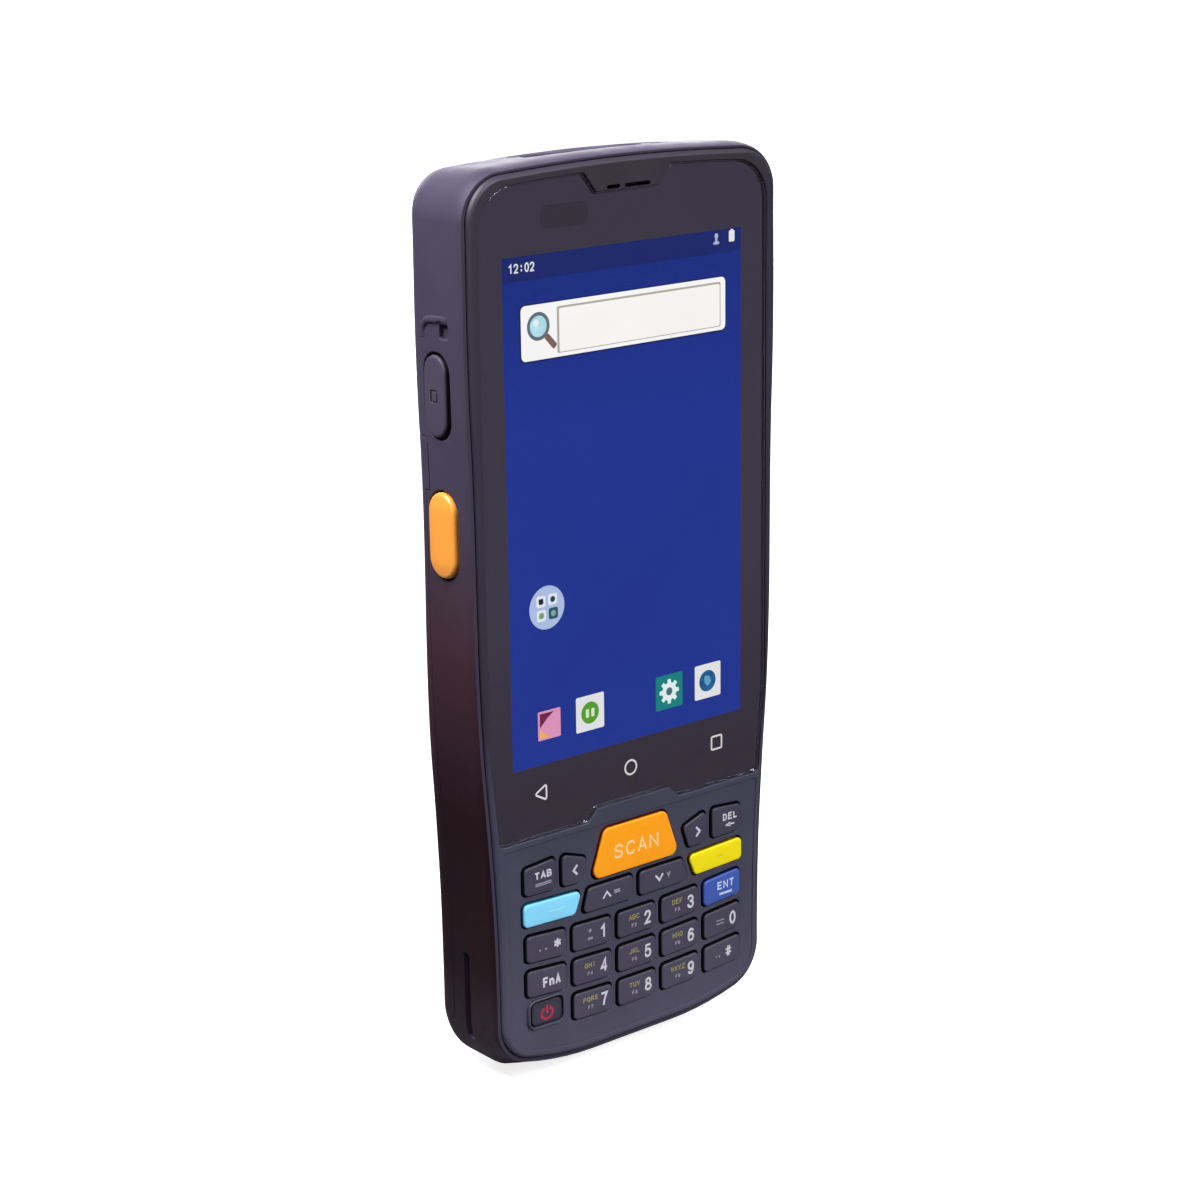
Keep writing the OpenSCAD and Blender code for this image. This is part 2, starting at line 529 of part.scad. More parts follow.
module volume_rocker() {
  // a rocker that tips on a small bar along y
  x_out = half_w(rocker_z) + 0.95;
  color([0.2, 0.19, 0.21]) place() {
    difference() {
      union() {
        pill_side(31.6, x_out, port_y, rocker_z, rocker_w - 1.2, rocker_l - 1.2);
        pill_side(30.3, x_out - 0.3, port_y, rocker_z, rocker_w, rocker_l);
      }
      bar_x(port_y, rocker_z, 1.0, x_out - 0.4, x_out + 1);
    }
    blk([30.3, port_y - 1.6, rocker_z - rocker_l / 2 - 0.9], [30.7, port_y + 1.6, rocker_z + rocker_l / 2 + 0.9]);
    for (s = [-1, 1]) blk([29.7, port_y - 1, rocker_z + s * 6 - 1], [30.4, port_y + 1, rocker_z + s * 6 + 1]);
  }
}
module port_cover() {
  // rubber flap with a plug, bending at its lower outer edge
  x_out = half_w(port_z) + 0.4;
  color([0.2, 0.19, 0.22]) place() {
    pill_side(-x_out, -33.5, flap_y, port_z, 5.1, 12.9);
    pill_side(-x_out + 0.3, -33.3, flap_y, port_z, 5.7, 13.6);
    blk([-33.4, port_y - 1.8, port_z - 4.6], [-32.1, port_y + 1.8, port_z + 4.6]);
  }
}

// ---- battery, its door and the latch
module battery() {
  w = batt_w / 2;
  color([0.18, 0.18, 0.2]) place() difference() {
    blk([-w, 10.1, bay_z + 0.5], [w, 10.1 + batt_t, 101.5]);
    // finger notch at the top
    blk([-8, 14.5, 98.6], [8, 20, 103]);
    // contact pads' recess at the bottom
    blk([-11.5, 11, bay_z - 1], [11.5, 13.4, bay_z + 0.75]);
  }
}
door_in = [[12.95, 8.15], [12.95, 103.5], [11.6, 103.5], [11.6, door_top - 1.5], [11.95, door_top - 0.75], [12.65, door_top - 0.3], [D + 9, door_top - 0.3], [D + 9, 8.15]];
module battery_door() {
  color([0.27, 0.255, 0.29]) place() {
    difference() {
      intersection() {
        difference() { body_solid(); body_inner(); }
        wide(-60, 60) polygon(door_in);
      }
      // slot for the latch knob, in a shallow finger scoop
      blk([-6.2, D - 0.5, 101.2], [6.2, D + 1, 109.6]);
      blk([-4.6, 15, 102.6], [4.6, D + 1, 108.7]);
    }
    // tongues at the lower edge
    for (x = [-17, 17]) blk([x - 3, 16.4, 6.8], [x + 3, 17.4, 12]);
    // stiffening ribs inside
    for (x = [-28.2, 28.2]) blk([x - 0.5, 16.0, 16], [x + 0.5, 17.5, 98]);
  }
}
module door_latch() {
  color([0.2, 0.19, 0.21]) place() {
    blk([-4.3, 17.0, 104.9], [4.3, D - 0.15, 108.4]);
    blk([-7, 16.0, 103.2], [7, 17.1, 110.2]);
    blk([-3, 16.0, 110.1], [3, 17.1, door_top + 1.2]);
    for (z = [105.7, 106.65, 107.6]) blk([-3.6, D - 0.2, z - 0.2], [3.6, D - 0.02, z + 0.2]);
  }
}

// ---- keys
dark = [0.25, 0.24, 0.27];
module key_scan() { color([1.0, 0.65, 0.15]) place() key_cap(q_scan, key_proud, 1.5); }
module key_tab() { color(dark) place() key_cap(q_tab); }
module key_left() { color(dark) place() key_cap(q_left); }
module key_right() { color(dark) place() key_cap(flip_key(q_left)); }
module key_delete() { color(dark) place() key_cap(flip_key(q_tab)); }
module key_cyan() { color([0.42, 0.8, 0.92]) place() key_cap(q_cyan); }
module key_up() { color(dark) place() key_cap(q_up); }
module key_down() { color(dark) place() key_cap(flip_key(q_up)); }
module key_yellow() { color([0.98, 0.88, 0.15]) place() key_cap(flip_key(q_cyan)); }
module key_star() { color(dark) place() key_cap(key_cell(-2, 0)); }
module key_1() { color(dark) place() key_cap(key_cell(-1, 0)); }
module key_2() { color(dark) place() key_cap(key_cell(0, 0)); }
module key_3() { color(dark) place() key_cap(key_cell(1, 0)); }
module key_enter() { color([0.2, 0.34, 0.68]) place() key_cap(key_cell(2, 0)); }
module key_fn() { color(dark) place() key_cap(key_cell(-2, 1)); }
module key_4() { color(dark) place() key_cap(key_cell(-1, 1)); }
module key_5() { color(dark) place() key_cap(key_cell(0, 1)); }
module key_6() { color(dark) place() key_cap(key_cell(1, 1)); }
module key_0() { color(dark) place() key_cap(key_cell(2, 1)); }
module key_power() { color(dark) place() key_cap(q_power, 0.3); }
module key_7() { color(dark) place() key_cap(key_cell(-1, 2)); }
module key_8() { color(dark) place() key_cap(key_cell(0, 2)); }
module key_9() { color(dark) place() key_cap(key_cell(1, 2)); }
module key_hash() { color(dark) place() key_cap(key_cell(2, 2)); }

front_cover();
rear_housing();
cover_seal();
touch_glass();
lcd_panel();
display_frame();
earpiece();
status_light();
keypad_board();
dome_switches();
keypad_flex();
main_board();
shield_cans();
side_switches();
scan_engine();
scan_window();
scan_window_seal();
camera_module();
camera_window();
flash_lens();
loudspeaker();
speaker_mesh();
vibration_motor();
usb_socket();
card_socket();
antenna();
battery_contacts();
charge_contacts();
housing_screws();
left_trigger();
right_trigger();
volume_rocker();
port_cover();
battery();
battery_door();
door_latch();
key_scan();
key_tab();
key_left();
key_right();
key_delete();
key_cyan();
key_up();
key_down();
key_yellow();
key_star();
key_1();
key_2();
key_3();
key_enter();
key_fn();
key_4();
key_5();
key_6();
key_0();
key_power();
key_7();
key_8();
key_9();
key_hash();
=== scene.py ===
"""Looks of the handheld barcode terminal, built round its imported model."""
import json
import math

import bmesh
import bpy
import numpy as np
from mathutils import Matrix, Vector
from mathutils.bvhtree import BVHTree

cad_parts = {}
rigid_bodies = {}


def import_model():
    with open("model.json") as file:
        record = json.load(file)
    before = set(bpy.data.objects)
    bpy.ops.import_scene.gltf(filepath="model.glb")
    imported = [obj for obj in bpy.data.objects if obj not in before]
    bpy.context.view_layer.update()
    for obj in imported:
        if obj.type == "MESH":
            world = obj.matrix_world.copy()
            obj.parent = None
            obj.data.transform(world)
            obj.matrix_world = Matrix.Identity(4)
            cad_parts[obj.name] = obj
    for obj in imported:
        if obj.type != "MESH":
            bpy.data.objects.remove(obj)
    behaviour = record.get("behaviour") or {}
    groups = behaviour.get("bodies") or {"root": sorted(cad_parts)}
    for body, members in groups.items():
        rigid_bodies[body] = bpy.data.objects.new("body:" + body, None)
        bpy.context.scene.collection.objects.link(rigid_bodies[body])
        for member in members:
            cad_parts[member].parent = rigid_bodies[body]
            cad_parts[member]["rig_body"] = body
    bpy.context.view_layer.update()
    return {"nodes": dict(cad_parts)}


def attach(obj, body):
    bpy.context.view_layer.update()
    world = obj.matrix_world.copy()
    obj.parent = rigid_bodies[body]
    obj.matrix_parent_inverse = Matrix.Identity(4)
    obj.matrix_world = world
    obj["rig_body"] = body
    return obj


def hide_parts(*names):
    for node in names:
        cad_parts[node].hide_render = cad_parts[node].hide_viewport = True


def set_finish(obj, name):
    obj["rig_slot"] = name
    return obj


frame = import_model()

MM = 0.001
D = 18.8          # depth of the body, front face to back
YM = 9.175        # the frame's y = 0, measured back from the front face
FOOT = 2.6        # the frame's z = 0 lies this far below the front's lower edge
scene = bpy.context.scene
scene.view_settings.view_transform = "Standard"
scene.view_settings.look = "None"


def radians(a):
    return math.radians(a)


# --------------------------------------------------------------- camera
cam_data = bpy.data.cameras.new("camera")
cam = bpy.data.objects.new("camera", cam_data)
scene.collection.objects.link(cam)
CAM_RIGHT = (0.765021725, -0.643878536, -0.012735432)
CAM_UP = (0.183526735, 0.199015911, 0.962658093)
CAM_BACK = (-0.617300330, -0.738791647, 0.270420421)
CAM_POS = (-0.2928459, -0.3510491, 0.2098596)
cam.matrix_world = Matrix((
    (CAM_RIGHT[0], CAM_UP[0], CAM_BACK[0], CAM_POS[0]),
    (CAM_RIGHT[1], CAM_UP[1], CAM_BACK[1], CAM_POS[1]),
    (CAM_RIGHT[2], CAM_UP[2], CAM_BACK[2], CAM_POS[2]),
    (0, 0, 0, 1)))
cam_data.sensor_width = 36.0
cam_data.lens = 82.2477
cam_data.clip_start, cam_data.clip_end = 0.01, 50
scene.camera = cam


# --------------------------------------------------------------- small maths
def ease(u):
    u = np.clip(u, 0, 1)
    return u * u * (3 - 2 * u)


PROF_Z = np.array([0, 15, 30, 45, 60, 75, 88, 98, 108, 118, 130, 145], float)
PROF_F = np.array([0, 0, 0.0857, 0.3286, 0.6429, 0.7857, 0.8143, 0.8286, 0.8714, 0.9571, 1, 0.9714])
_h, _d = np.diff(PROF_Z), np.diff(PROF_F) / np.diff(PROF_Z)
PROF_M = np.concatenate([[0], (_h[:-1] * _d[1:] + _h[1:] * _d[:-1]) / (_h[:-1] + _h[1:]), [0]])


def half_w(z):
    """Half width of the body along its length: a smooth curve through stations."""
    z = np.clip(np.asarray(z, float), 0, 145)
    i = np.clip(np.searchsorted(PROF_Z, z, "right") - 1, 0, len(PROF_Z) - 2)
    h = PROF_Z[i + 1] - PROF_Z[i]
    t = (z - PROF_Z[i]) / h
    f = ((1 + 2 * t) * (1 - t) ** 2 * PROF_F[i] + t * (1 - t) ** 2 * h * PROF_M[i]
         + t * t * (3 - 2 * t) * PROF_F[i + 1] + t * t * (t - 1) * h * PROF_M[i + 1])
    return 30.65 + 3.5 * f


def back_round(z):
    return 4.5 + 3.3 * ease((np.asarray(z, float) - 10) / 95)


def body_outline(nc=26, step=3.0):
    """The body seen from the front, anticlockwise from the right end of the foot: x, z and the outward normal."""
    p = [(9.0, 0.0, 0.0, -1.0)]
    for a in np.radians(np.linspace(0, 15.05, 6)[1:-1]):
        p.append((9 + 60 * math.sin(a), 60 - 60 * math.cos(a), math.sin(a), -math.cos(a)))
    for a in np.radians(np.linspace(-74.95, 0, nc)):
        p.append((22.45 + 8.2 * math.cos(a), 9.98 + 8.2 * math.sin(a), math.cos(a), math.sin(a)))
    for z in np.arange(13.0, 145.5, step):
        s = float(half_w(z + 0.5) - half_w(z - 0.5))
        n = math.sqrt(1 + s * s)
        p.append((float(half_w(z)), z, 1 / n, -s / n))
    for a in np.radians(np.linspace(0, 86.2, nc)):
        p.append((25.65 + 8.4 * math.cos(a), 147.77 + 8.4 * math.sin(a), math.cos(a), math.sin(a)))
    for x in (22.0, 18.0, 14.0, 10.0, 6.0, 3.0):
        p.append((x, 157 - x * x / 780, x / 390, 1.0))
    p.append((0.0, 157.0, 0.0, 1.0))
    half = np.array(p)
    left = half[-2::-1].copy()
    left[:, 0] *= -1
    left[:, 2] *= -1
    return np.vstack([half, left])


OUT = body_outline()


def mix3(p, s, t, b):
    x2, z2 = p[:, 2] ** 2, p[:, 3] ** 2
    return (s * x2 + np.where(p[:, 3] > 0, t, b) * z2) / (x2 + z2)


def f_in(p, y):
    a, b = mix3(p, 1.6, 1.5, 1.2), mix3(p, 2.4, 4.5, 1.8)
    t = np.clip(1 - y / b, 0, 1)
    return a * (1 - np.sqrt(1 - t * t))


def b_in(p, y, off):
    r = back_round(p[:, 1])
    a = np.maximum(0.5, mix3(p, r, 4.2, 2.6) - off)
    b = np.maximum(0.5, mix3(p, r, 6.0, 3.6) - off)
    t = np.clip((y - (D - off - b)) / b, 0, 1)
    return a * (1 - np.sqrt(1 - t * t))


def drop(p, y):
    """The foot reaches down behind its front edge and the top end falls a little towards the back."""
    k = p[:, 3] ** 2 / (p[:, 2] ** 2 + p[:, 3] ** 2)
    return k * np.where(p[:, 3] < 0, FOOT * ease((y - 1.6) / 6.4), 0.7 * ease((y - 3) / 12))


def ring(y, off=0.0):
    i = f_in(OUT, y) + b_in(OUT, y, off) + off
    return np.column_stack([OUT[:, 0] - OUT[:, 2] * i, np.full(len(OUT), float(y)), OUT[:, 1] - OUT[:, 3] * i - drop(OUT, y)])


def inset_xz(i):
    return np.column_stack([OUT[:, 0] - OUT[:, 2] * i, OUT[:, 1] - OUT[:, 3] * i])


def side_x(y, z):
    """Half width of the body's side at depth y and height z."""
    y, z = float(y), float(z)
    a = 1.6 * (1 - math.sqrt(1 - max(0.0, 1 - y / 2.4) ** 2)) if y < 2.4 else 0.0
    r = float(back_round(z))
    t = min(1.0, max(0.0, (y - (D - r)) / r))
    return float(half_w(z)) - a - r * (1 - math.sqrt(1 - t * t))


def top_z(x, y):
    """Height of the top end at x and depth y."""
    a = 1.5 * (1 - math.sqrt(1 - max(0.0, 1 - y / 4.5) ** 2)) if y < 4.5 else 0.0
    t = min(1.0, max(0.0, (y - (D - 6.0)) / 6.0))
    return 157 - x * x / 780 - a - 4.2 * (1 - math.sqrt(1 - t * t)) - 0.7 * float(ease((y - 3) / 12))


def unit(v):
    v = np.asarray(v, float)
    return v / np.linalg.norm(v)


def round_poly(pts, r, n=7):
    """A polygon with rounded corners."""
    pts = [np.asarray(p, float) for p in pts]
    m, out = len(pts), []
    rs = r if hasattr(r, "__len__") else [r] * m
    for i in range(m):
        a, p, b = pts[i - 1], pts[i], pts[(i + 1) % m]
        u, v = unit(a - p), unit(b - p)
        half = math.acos(max(-1, min(1, float(u @ v)))) / 2
        if half > radians(87) or rs[i] < 0.01:
            out.append(p)
            continue
        d = min(rs[i] / math.tan(half), 0.46 * min(np.linalg.norm(a - p), np.linalg.norm(b - p)))
        rr = d * math.tan(half)
        o = p + unit(u + v) * rr / math.sin(half)
        s, e = p + u * d - o, p + v * d - o
        a0, a1 = math.atan2(s[1], s[0]), math.atan2(e[1], e[0])
        dd = (a1 - a0 + math.pi) % (2 * math.pi) - math.pi
        for k in range(n + 1):
            t = a0 + dd * k / n
            out.append(o + rr * np.array([math.cos(t), math.sin(t)]))
    return np.array(out)


def grow(pts, g):
    """Corner points of a convex clockwise outline moved outward by g."""
    pts = [np.asarray(p, float) for p in pts]
    m, sides = len(pts), []
    for i in range(m):
        a, b = pts[i], pts[(i + 1) % m]
        d = unit(b - a)
        sides.append((a + g * np.array([-d[1], d[0]]), d))
    out = []
    for i in range(m):
        (p, d), (q, e) = sides[i - 1], sides[i]
        k = ((q - p)[0] * e[1] - (q - p)[1] * e[0]) / (d[0] * e[1] - d[1] * e[0])
        out.append(p + d * k)
    return out


def offset_line(pts, g):
    """A dense closed outline moved along its own normals by g, outward for either direction of travel."""
    pts = np.asarray(pts, float)
    nxt, prv = np.roll(pts, -1, 0), np.roll(pts, 1, 0)
    d1, d2 = pts - prv, nxt - pts
    d1 /= np.linalg.norm(d1, axis=1)[:, None] + 1e-12
    d2 /= np.linalg.norm(d2, axis=1)[:, None] + 1e-12
    n1, n2 = np.column_stack([d1[:, 1], -d1[:, 0]]), np.column_stack([d2[:, 1], -d2[:, 0]])
    area = 0.5 * np.sum(pts[:, 0] * nxt[:, 1] - nxt[:, 0] * pts[:, 1])
    sign = 1 if area > 0 else -1
    n = n1 + n2
    n /= np.linalg.norm(n, axis=1)[:, None] + 1e-12
    k = 1 / np.maximum(0.5, np.sum(n * n1, axis=1))
    return pts + n * (g * sign * k)[:, None]


def circle(r, n=48, cx=0.0, cy=0.0):
    a = np.linspace(0, 2 * math.pi, n, endpoint=False)
    return np.column_stack([cx + r * np.cos(a), cy + r * np.sin(a)])


def pill(w, l, n=18):
    """Outline of a slot long along its second axis."""
    r, h = w / 2, (l - w) / 2
    a = np.linspace(0, math.pi, n)
    top = np.column_stack([r * np.cos(a), h + r * np.sin(a)])
    return np.vstack([top, -top])


# --------------------------------------------------------------- meshes, in millimetres until place()
def new_object(name, verts, faces):
    me = bpy.data.meshes.new(name)
    me.from_pydata([tuple(map(float, v)) for v in verts], [], [tuple(int(i) for i in f) for f in faces])
    bm = bmesh.new()
    bm.from_mesh(me)
    bmesh.ops.recalc_face_normals(bm, faces=bm.faces)
    bm.to_mesh(me)
    bm.free()
    me.validate()
    ob = bpy.data.objects.new(name, me)
    scene.collection.objects.link(ob)
    return ob


def loft_data(rings, caps=(True, True)):
    rings = [np.asarray(r, float) for r in rings]
    n, m = len(rings[0]), len(rings)
    faces = []
    for k in range(m - 1):
        for i in range(n):
            j = (i + 1) % n
            faces.append((k * n + i, k * n + j, (k + 1) * n + j, (k + 1) * n + i))
    if caps[0]:
        faces.append(tuple(range(n - 1, -1, -1)))
    if caps[1]:
        faces.append(tuple((m - 1) * n + i for i in range(n)))
    return np.vstack(rings), faces


def loft(name, rings):
    return new_object(name, *loft_data(rings))


def dome_data(rings, centre):
    """A loft whose last ring closes on one point."""
    v, f = loft_data(rings, (True, False))
    n, k = len(rings[0]), (len(rings) - 1) * len(rings[0])
    v = np.vstack([v, [centre]])
    return v, f + [(k + i, k + (i + 1) % n, len(v) - 1) for i in range(n)]


def at_y(poly, y):
    poly = np.asarray(poly, float)
    return np.column_stack([poly[:, 0], np.full(len(poly), float(y)), poly[:, 1]])


def at_x(poly, x):
    poly = np.asarray(poly, float)
    return np.column_stack([np.full(len(poly), float(x)), poly[:, 0], poly[:, 1]])


def at_z(poly, z):
    poly = np.asarray(poly, float)
    return np.column_stack([poly[:, 0], poly[:, 1], np.full(len(poly), float(z))])


def slab(poly, y0, y1):
    return loft("tool", [at_y(poly, y0), at_y(poly, y1)])


def wide(poly, x0, x1):
    return loft("tool", [at_x(poly, x0), at_x(poly, x1)])


def blk(a, b):
    return slab([(a[0], a[2]), (b[0], a[2]), (b[0], b[2]), (a[0], b[2])], a[1], b[1])


def bar_y(x, z, r, y0, y1, n=48):
    return slab(circle(r, n, x, z), y0, y1)


def bar_z(x, y, r, z0, z1, n=40):
    c = circle(r, n, x, y)
    return loft("tool", [at_z(c, z0), at_z(c, z1)])


def pill_x(x0, x1, y, z, w, l):
    return wide(pill(w, l) + np.array([y, z]), x0, x1)


def stack_y(parts):
    """A tool through outlines at several depths: [(y, outline), ...]."""
    return loft("tool", [at_y(p, y) for y, p in parts])


FILLET = [(radians(a)) for a in (22, 40, 58, 76, 90)]


def fillet_steps(r, rise=0.15):
    """Outward growth and depth of a cutter that leaves a rounded edge of radius r."""
    o0, d0 = r * (1 - math.sin(FILLET[0])), r * (1 - math.cos(FILLET[0]))
    slope = math.tan(FILLET[0])
    return [(o0 + (rise + d0) / slope, -rise)] + [(r * (1 - math.sin(a)), r * (1 - math.cos(a))) for a in FILLET]


def side_tool(s, y, z, w, l, x_in, r=0.3, outline=None):
    """A cutter into the body's side, which follows its surface and leaves a rounded edge."""
    base = pill(w, l) if outline is None else np.asarray(outline, float)
    rings = []
    for k, (o, d) in enumerate(fillet_steps(r)):
        p = offset_line(base, o) + np.array([y, z])
        if k == 0:
            rings.append(np.column_stack([np.full(len(p), s * 37.0), p[:, 0], p[:, 1]]))
        rings.append(np.array([(s * (side_x(q[0], q[1]) - d), q[0], q[1]) for q in p]))
    p = base + np.array([y, z])
    rings.append(np.column_stack([np.full(len(p), s * x_in), p[:, 0], p[:, 1]]))
    return loft("tool", rings)


def back_tool(poly, y_in, r=0.25, y_face=D):
    """A cutter into the flat back that leaves a rounded edge."""
    rings = [at_y(offset_line(poly, o), y_face - d) for o, d in fillet_steps(r)]
    return loft("tool", rings + [at_y(poly, y_in)])


def front_tool(poly, y_out, r=0.25, y_face=0.0, rise=0.15):
    rings = [at_y(offset_line(poly, o), y_face + d) for o, d in fillet_steps(r, rise)]
    return loft("tool", rings + [at_y(poly, y_out)])


def boolean(ob, tools, op="DIFFERENCE"):
    for t in tools:
        m = ob.modifiers.new("b", "BOOLEAN")
        m.operation, m.solver, m.object = op, "MANIFOLD", t
    dg = bpy.context.evaluated_depsgraph_get()
    dg.update()
    me = bpy.data.meshes.new_from_object(ob.evaluated_get(dg), depsgraph=dg)
    ob.modifiers.clear()
    old, ob.data = ob.data, me
    bpy.data.meshes.remove(old)
    for t in tools:
        data = t.data
        bpy.data.objects.remove(t)
        bpy.data.meshes.remove(data)
    if not len(me.polygons):
        raise RuntimeError(ob.name + " vanished in a boolean")
    return ob


def rounded_prism(poly, lo, hi, r, axis="y", steps=5):
    """A solid with an outline and two softly rounded ends."""
    put = {"x": at_x, "y": at_y, "z": at_z}[axis]
    rings = []
    for k in range(steps + 1):
        a = math.pi / 2 * k / steps
        rings.append(put(offset_line(poly, -r * (1 - math.sin(a))), lo + r * (1 - math.cos(a))))
    for k in range(steps, -1, -1):
        a = math.pi / 2 * k / steps
        rings.append(put(offset_line(poly, -r * (1 - math.sin(a))), hi - r * (1 - math.cos(a))))
    return loft("tool", rings)


PLACE = Matrix.Translation((0, -YM * MM, FOOT * MM)) @ Matrix.Scale(MM, 4)


def place(ob, name, body, material, slot=None, replaces=(), sharp=32, weighted=True):
    ob.name = name
    me = ob.data
    me.name = name
    me.transform(PLACE)
    me.polygons.foreach_set("use_smooth", [True] * len(me.polygons))
    me.set_sharp_from_angle(angle=radians(sharp))
    me.materials.clear()
    me.materials.append(material)
    me.update()
    if weighted:
        m = ob.modifiers.new("normals", "WEIGHTED_NORMAL")
        m.keep_sharp, m.weight, m.mode = True, 50, "FACE_AREA"
    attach(ob, body)
    if slot:
        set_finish(ob, slot)
    if replaces:
        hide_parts(*replaces)
    return ob


# --------------------------------------------------------------- materials
def tree(name):
    m = bpy.data.materials.new(name)
    m.use_nodes = True
    nt = m.node_tree
    nt.nodes.clear()
    out = nt.nodes.new("ShaderNodeOutputMaterial")
    bsdf = nt.nodes.new("ShaderNodeBsdfPrincipled")
    nt.links.new(bsdf.outputs[0], out.inputs[0])
    return m, nt, bsdf


def node(nt, kind, **values):
    n = nt.nodes.new(kind)
    for k, v in values.items():
        if k.startswith("_"):
            setattr(n, k[1:], v)
        else:
            n.inputs[int(k[1:]) if k[0] == "i" and k[1:].isdigit() else k].default_value = v
    return n


def noise(nt, coord, scale, detail=2.0, rough=0.5):
    n = nt.nodes.new("ShaderNodeTexNoise")
    n.inputs["Scale"].default_value = scale
    n.inputs["Detail"].default_value = detail
    n.inputs["Roughness"].default_value = rough
    nt.links.new(coord, n.inputs["Vector"])
    return n.outputs["Fac"]


def span(nt, value, lo, hi, a=0.3, b=0.7):
    m = nt.nodes.new("ShaderNodeMapRange")
    nt.links.new(value, m.inputs["Value"])
    for k, v in zip(("From Min", "From Max", "To Min", "To Max"), (a, b, lo, hi)):
        m.inputs[k].default_value = v
    return m.outputs["Result"]


def blend_colour(nt, fac, a, b, how="MIX"):
    m = nt.nodes.new("ShaderNodeMix")
    m.data_type, m.blend_type = "RGBA", how
    if isinstance(fac, (int, float)):
        m.inputs[0].default_value = fac
    else:
        nt.links.new(fac, m.inputs[0])
    for i, c in ((6, a), (7, b)):
        if hasattr(c, "links"):
            nt.links.new(c, m.inputs[i])
        else:
            m.inputs[i].default_value = (*c, 1)
    return m.outputs[2]


def rgb(r, g, b):
    """Linear colour of a display colour from 0 to 255."""
    return tuple((c / 255 / 12.92) if c / 255 <= 0.04045 else ((c / 255 + 0.055) / 1.055) ** 2.4 for c in (r, g, b))


def plastic(name, colour, rough=0.45, grain=0.3, grain_mm=0.35, bevel_mm=0.15, vary=0.10, coat=0.0, specular=0.5, wall_shade=None, wear=0.0, foot=None, side=None, flanks=False):
    """Moulded plastic: fine spark grain, slow change of colour and gloss, and softened edges.
    The band for a key's sides, (y0, y1, colour), is painted shade: they are darker towards its foot."""
    m, nt, bsdf = tree(name)
    tc = nt.nodes.new("ShaderNodeTexCoord").outputs["Object"]
    slow = noise(nt, tc, 55, 3)
    fine = noise(nt, tc, 1400, 2)
    dark, light = tuple(c * (1 - vary) for c in colour), tuple(min(1, c * (1 + vary)) for c in colour)
    col = blend_colour(nt, span(nt, slow, 0, 1), dark, light)
    if foot:
        # painted light and shade: the colour changes towards the keypad end, for how the light falls along the body
        sep = nt.nodes.new("ShaderNodeSeparateXYZ")
        nt.links.new(tc, sep.inputs[0])
        plain = col
        for z0, z1, low in foot:
            low = blend_colour(nt, span(nt, slow, 0, 1), tuple(c * (1 - vary) for c in low), tuple(c * (1 + vary) for c in low))
            col = blend_colour(nt, span(nt, sep.outputs["Z"], 1, 0, z0, z1), col, low)
        if flanks:
            # the painted shade goes on the long sides only; the broad back keeps one colour
            nsep = nt.nodes.new("ShaderNodeSeparateXYZ")
            nt.links.new(nt.nodes.new("ShaderNodeTexCoord").outputs["Normal"], nsep.inputs[0])
            out = node(nt, "ShaderNodeMath", _operation="ABSOLUTE")
            nt.links.new(nsep.outputs["X"], out.inputs[0])
            col = blend_colour(nt, span(nt, out.outputs[0], 0, 1, 0.35, 0.85), plain, col)
    else:
        col = blend_colour(nt, span(nt, fine, 0, 0.35, 0.45, 0.75), col, light)
    normal = None
    if bevel_mm:
        bv = node(nt, "ShaderNodeBevel", Radius=bevel_mm * MM)
        bv.samples = 4
        normal = bv.outputs["Normal"]
        if wear:
            geo = nt.nodes.new("ShaderNodeNewGeometry")
            dot = nt.nodes.new("ShaderNodeVectorMath")
            dot.operation = "DOT_PRODUCT"
            nt.links.new(normal, dot.inputs[0])
            nt.links.new(geo.outputs["Normal"], dot.inputs[1])
            edge = span(nt, dot.outputs["Value"], wear, 0, 0.80, 0.99)
            rub = nt.nodes.new("ShaderNodeMath")
            rub.operation = "MULTIPLY"
            nt.links.new(edge, rub.inputs[0])
            nt.links.new(span(nt, noise(nt, tc, 420, 3), 0.2, 1.0), rub.inputs[1])
            col = blend_colour(nt, rub.outputs[0], col, tuple(min(1, c * 1.9 + 0.03) for c in colour))
    # painted shade: the sides of a key are darker towards its foot
    if wall_shade:
        sep = nt.nodes.new("ShaderNodeSeparateXYZ")
        nt.links.new(tc, sep.inputs[0])
        y0, y1, low = wall_shade
        col = blend_colour(nt, span(nt, sep.outputs["Y"], 0, 1, (y0 - YM) * MM, (y1 - YM) * MM), col, low)
    # painted shade: the part of the flap nearest the body is darker, for the shade in the gap round it
    if side:
        sep = nt.nodes.new("ShaderNodeSeparateXYZ")
        nt.links.new(tc, sep.inputs[0])
        col = blend_colour(nt, span(nt, sep.outputs["X"], 0, 1, side[0], side[1]), col, side[2])
    nt.links.new(col, bsdf.inputs["Base Color"])
    nt.links.new(span(nt, noise(nt, tc, 160, 4, 0.6), rough - 0.06, rough + 0.08), bsdf.inputs["Roughness"])
    vor = nt.nodes.new("ShaderNodeTexVoronoi")
    vor.feature = "SMOOTH_F1"
    vor.inputs["Scale"].default_value = 1000 / grain_mm
    nt.links.new(tc, vor.inputs["Vector"])
    mixh = nt.nodes.new("ShaderNodeMath")
    mixh.operation = "ADD"
    nt.links.new(vor.outputs["Distance"], mixh.inputs[0])
    nt.links.new(noise(nt, tc, 2600, 2), mixh.inputs[1])
    bump = node(nt, "ShaderNodeBump", Strength=grain, Distance=0.00004)
    nt.links.new(mixh.outputs[0], bump.inputs["Height"])
    if normal is not None:
        nt.links.new(normal, bump.inputs["Normal"])
    nt.links.new(bump.outputs["Normal"], bsdf.inputs["Normal"])
    bsdf.inputs["Specular IOR Level"].default_value = specular
    if coat:
        bsdf.inputs["Coat Weight"].default_value = coat
        bsdf.inputs["Coat Roughness"].default_value = 0.12
    return m


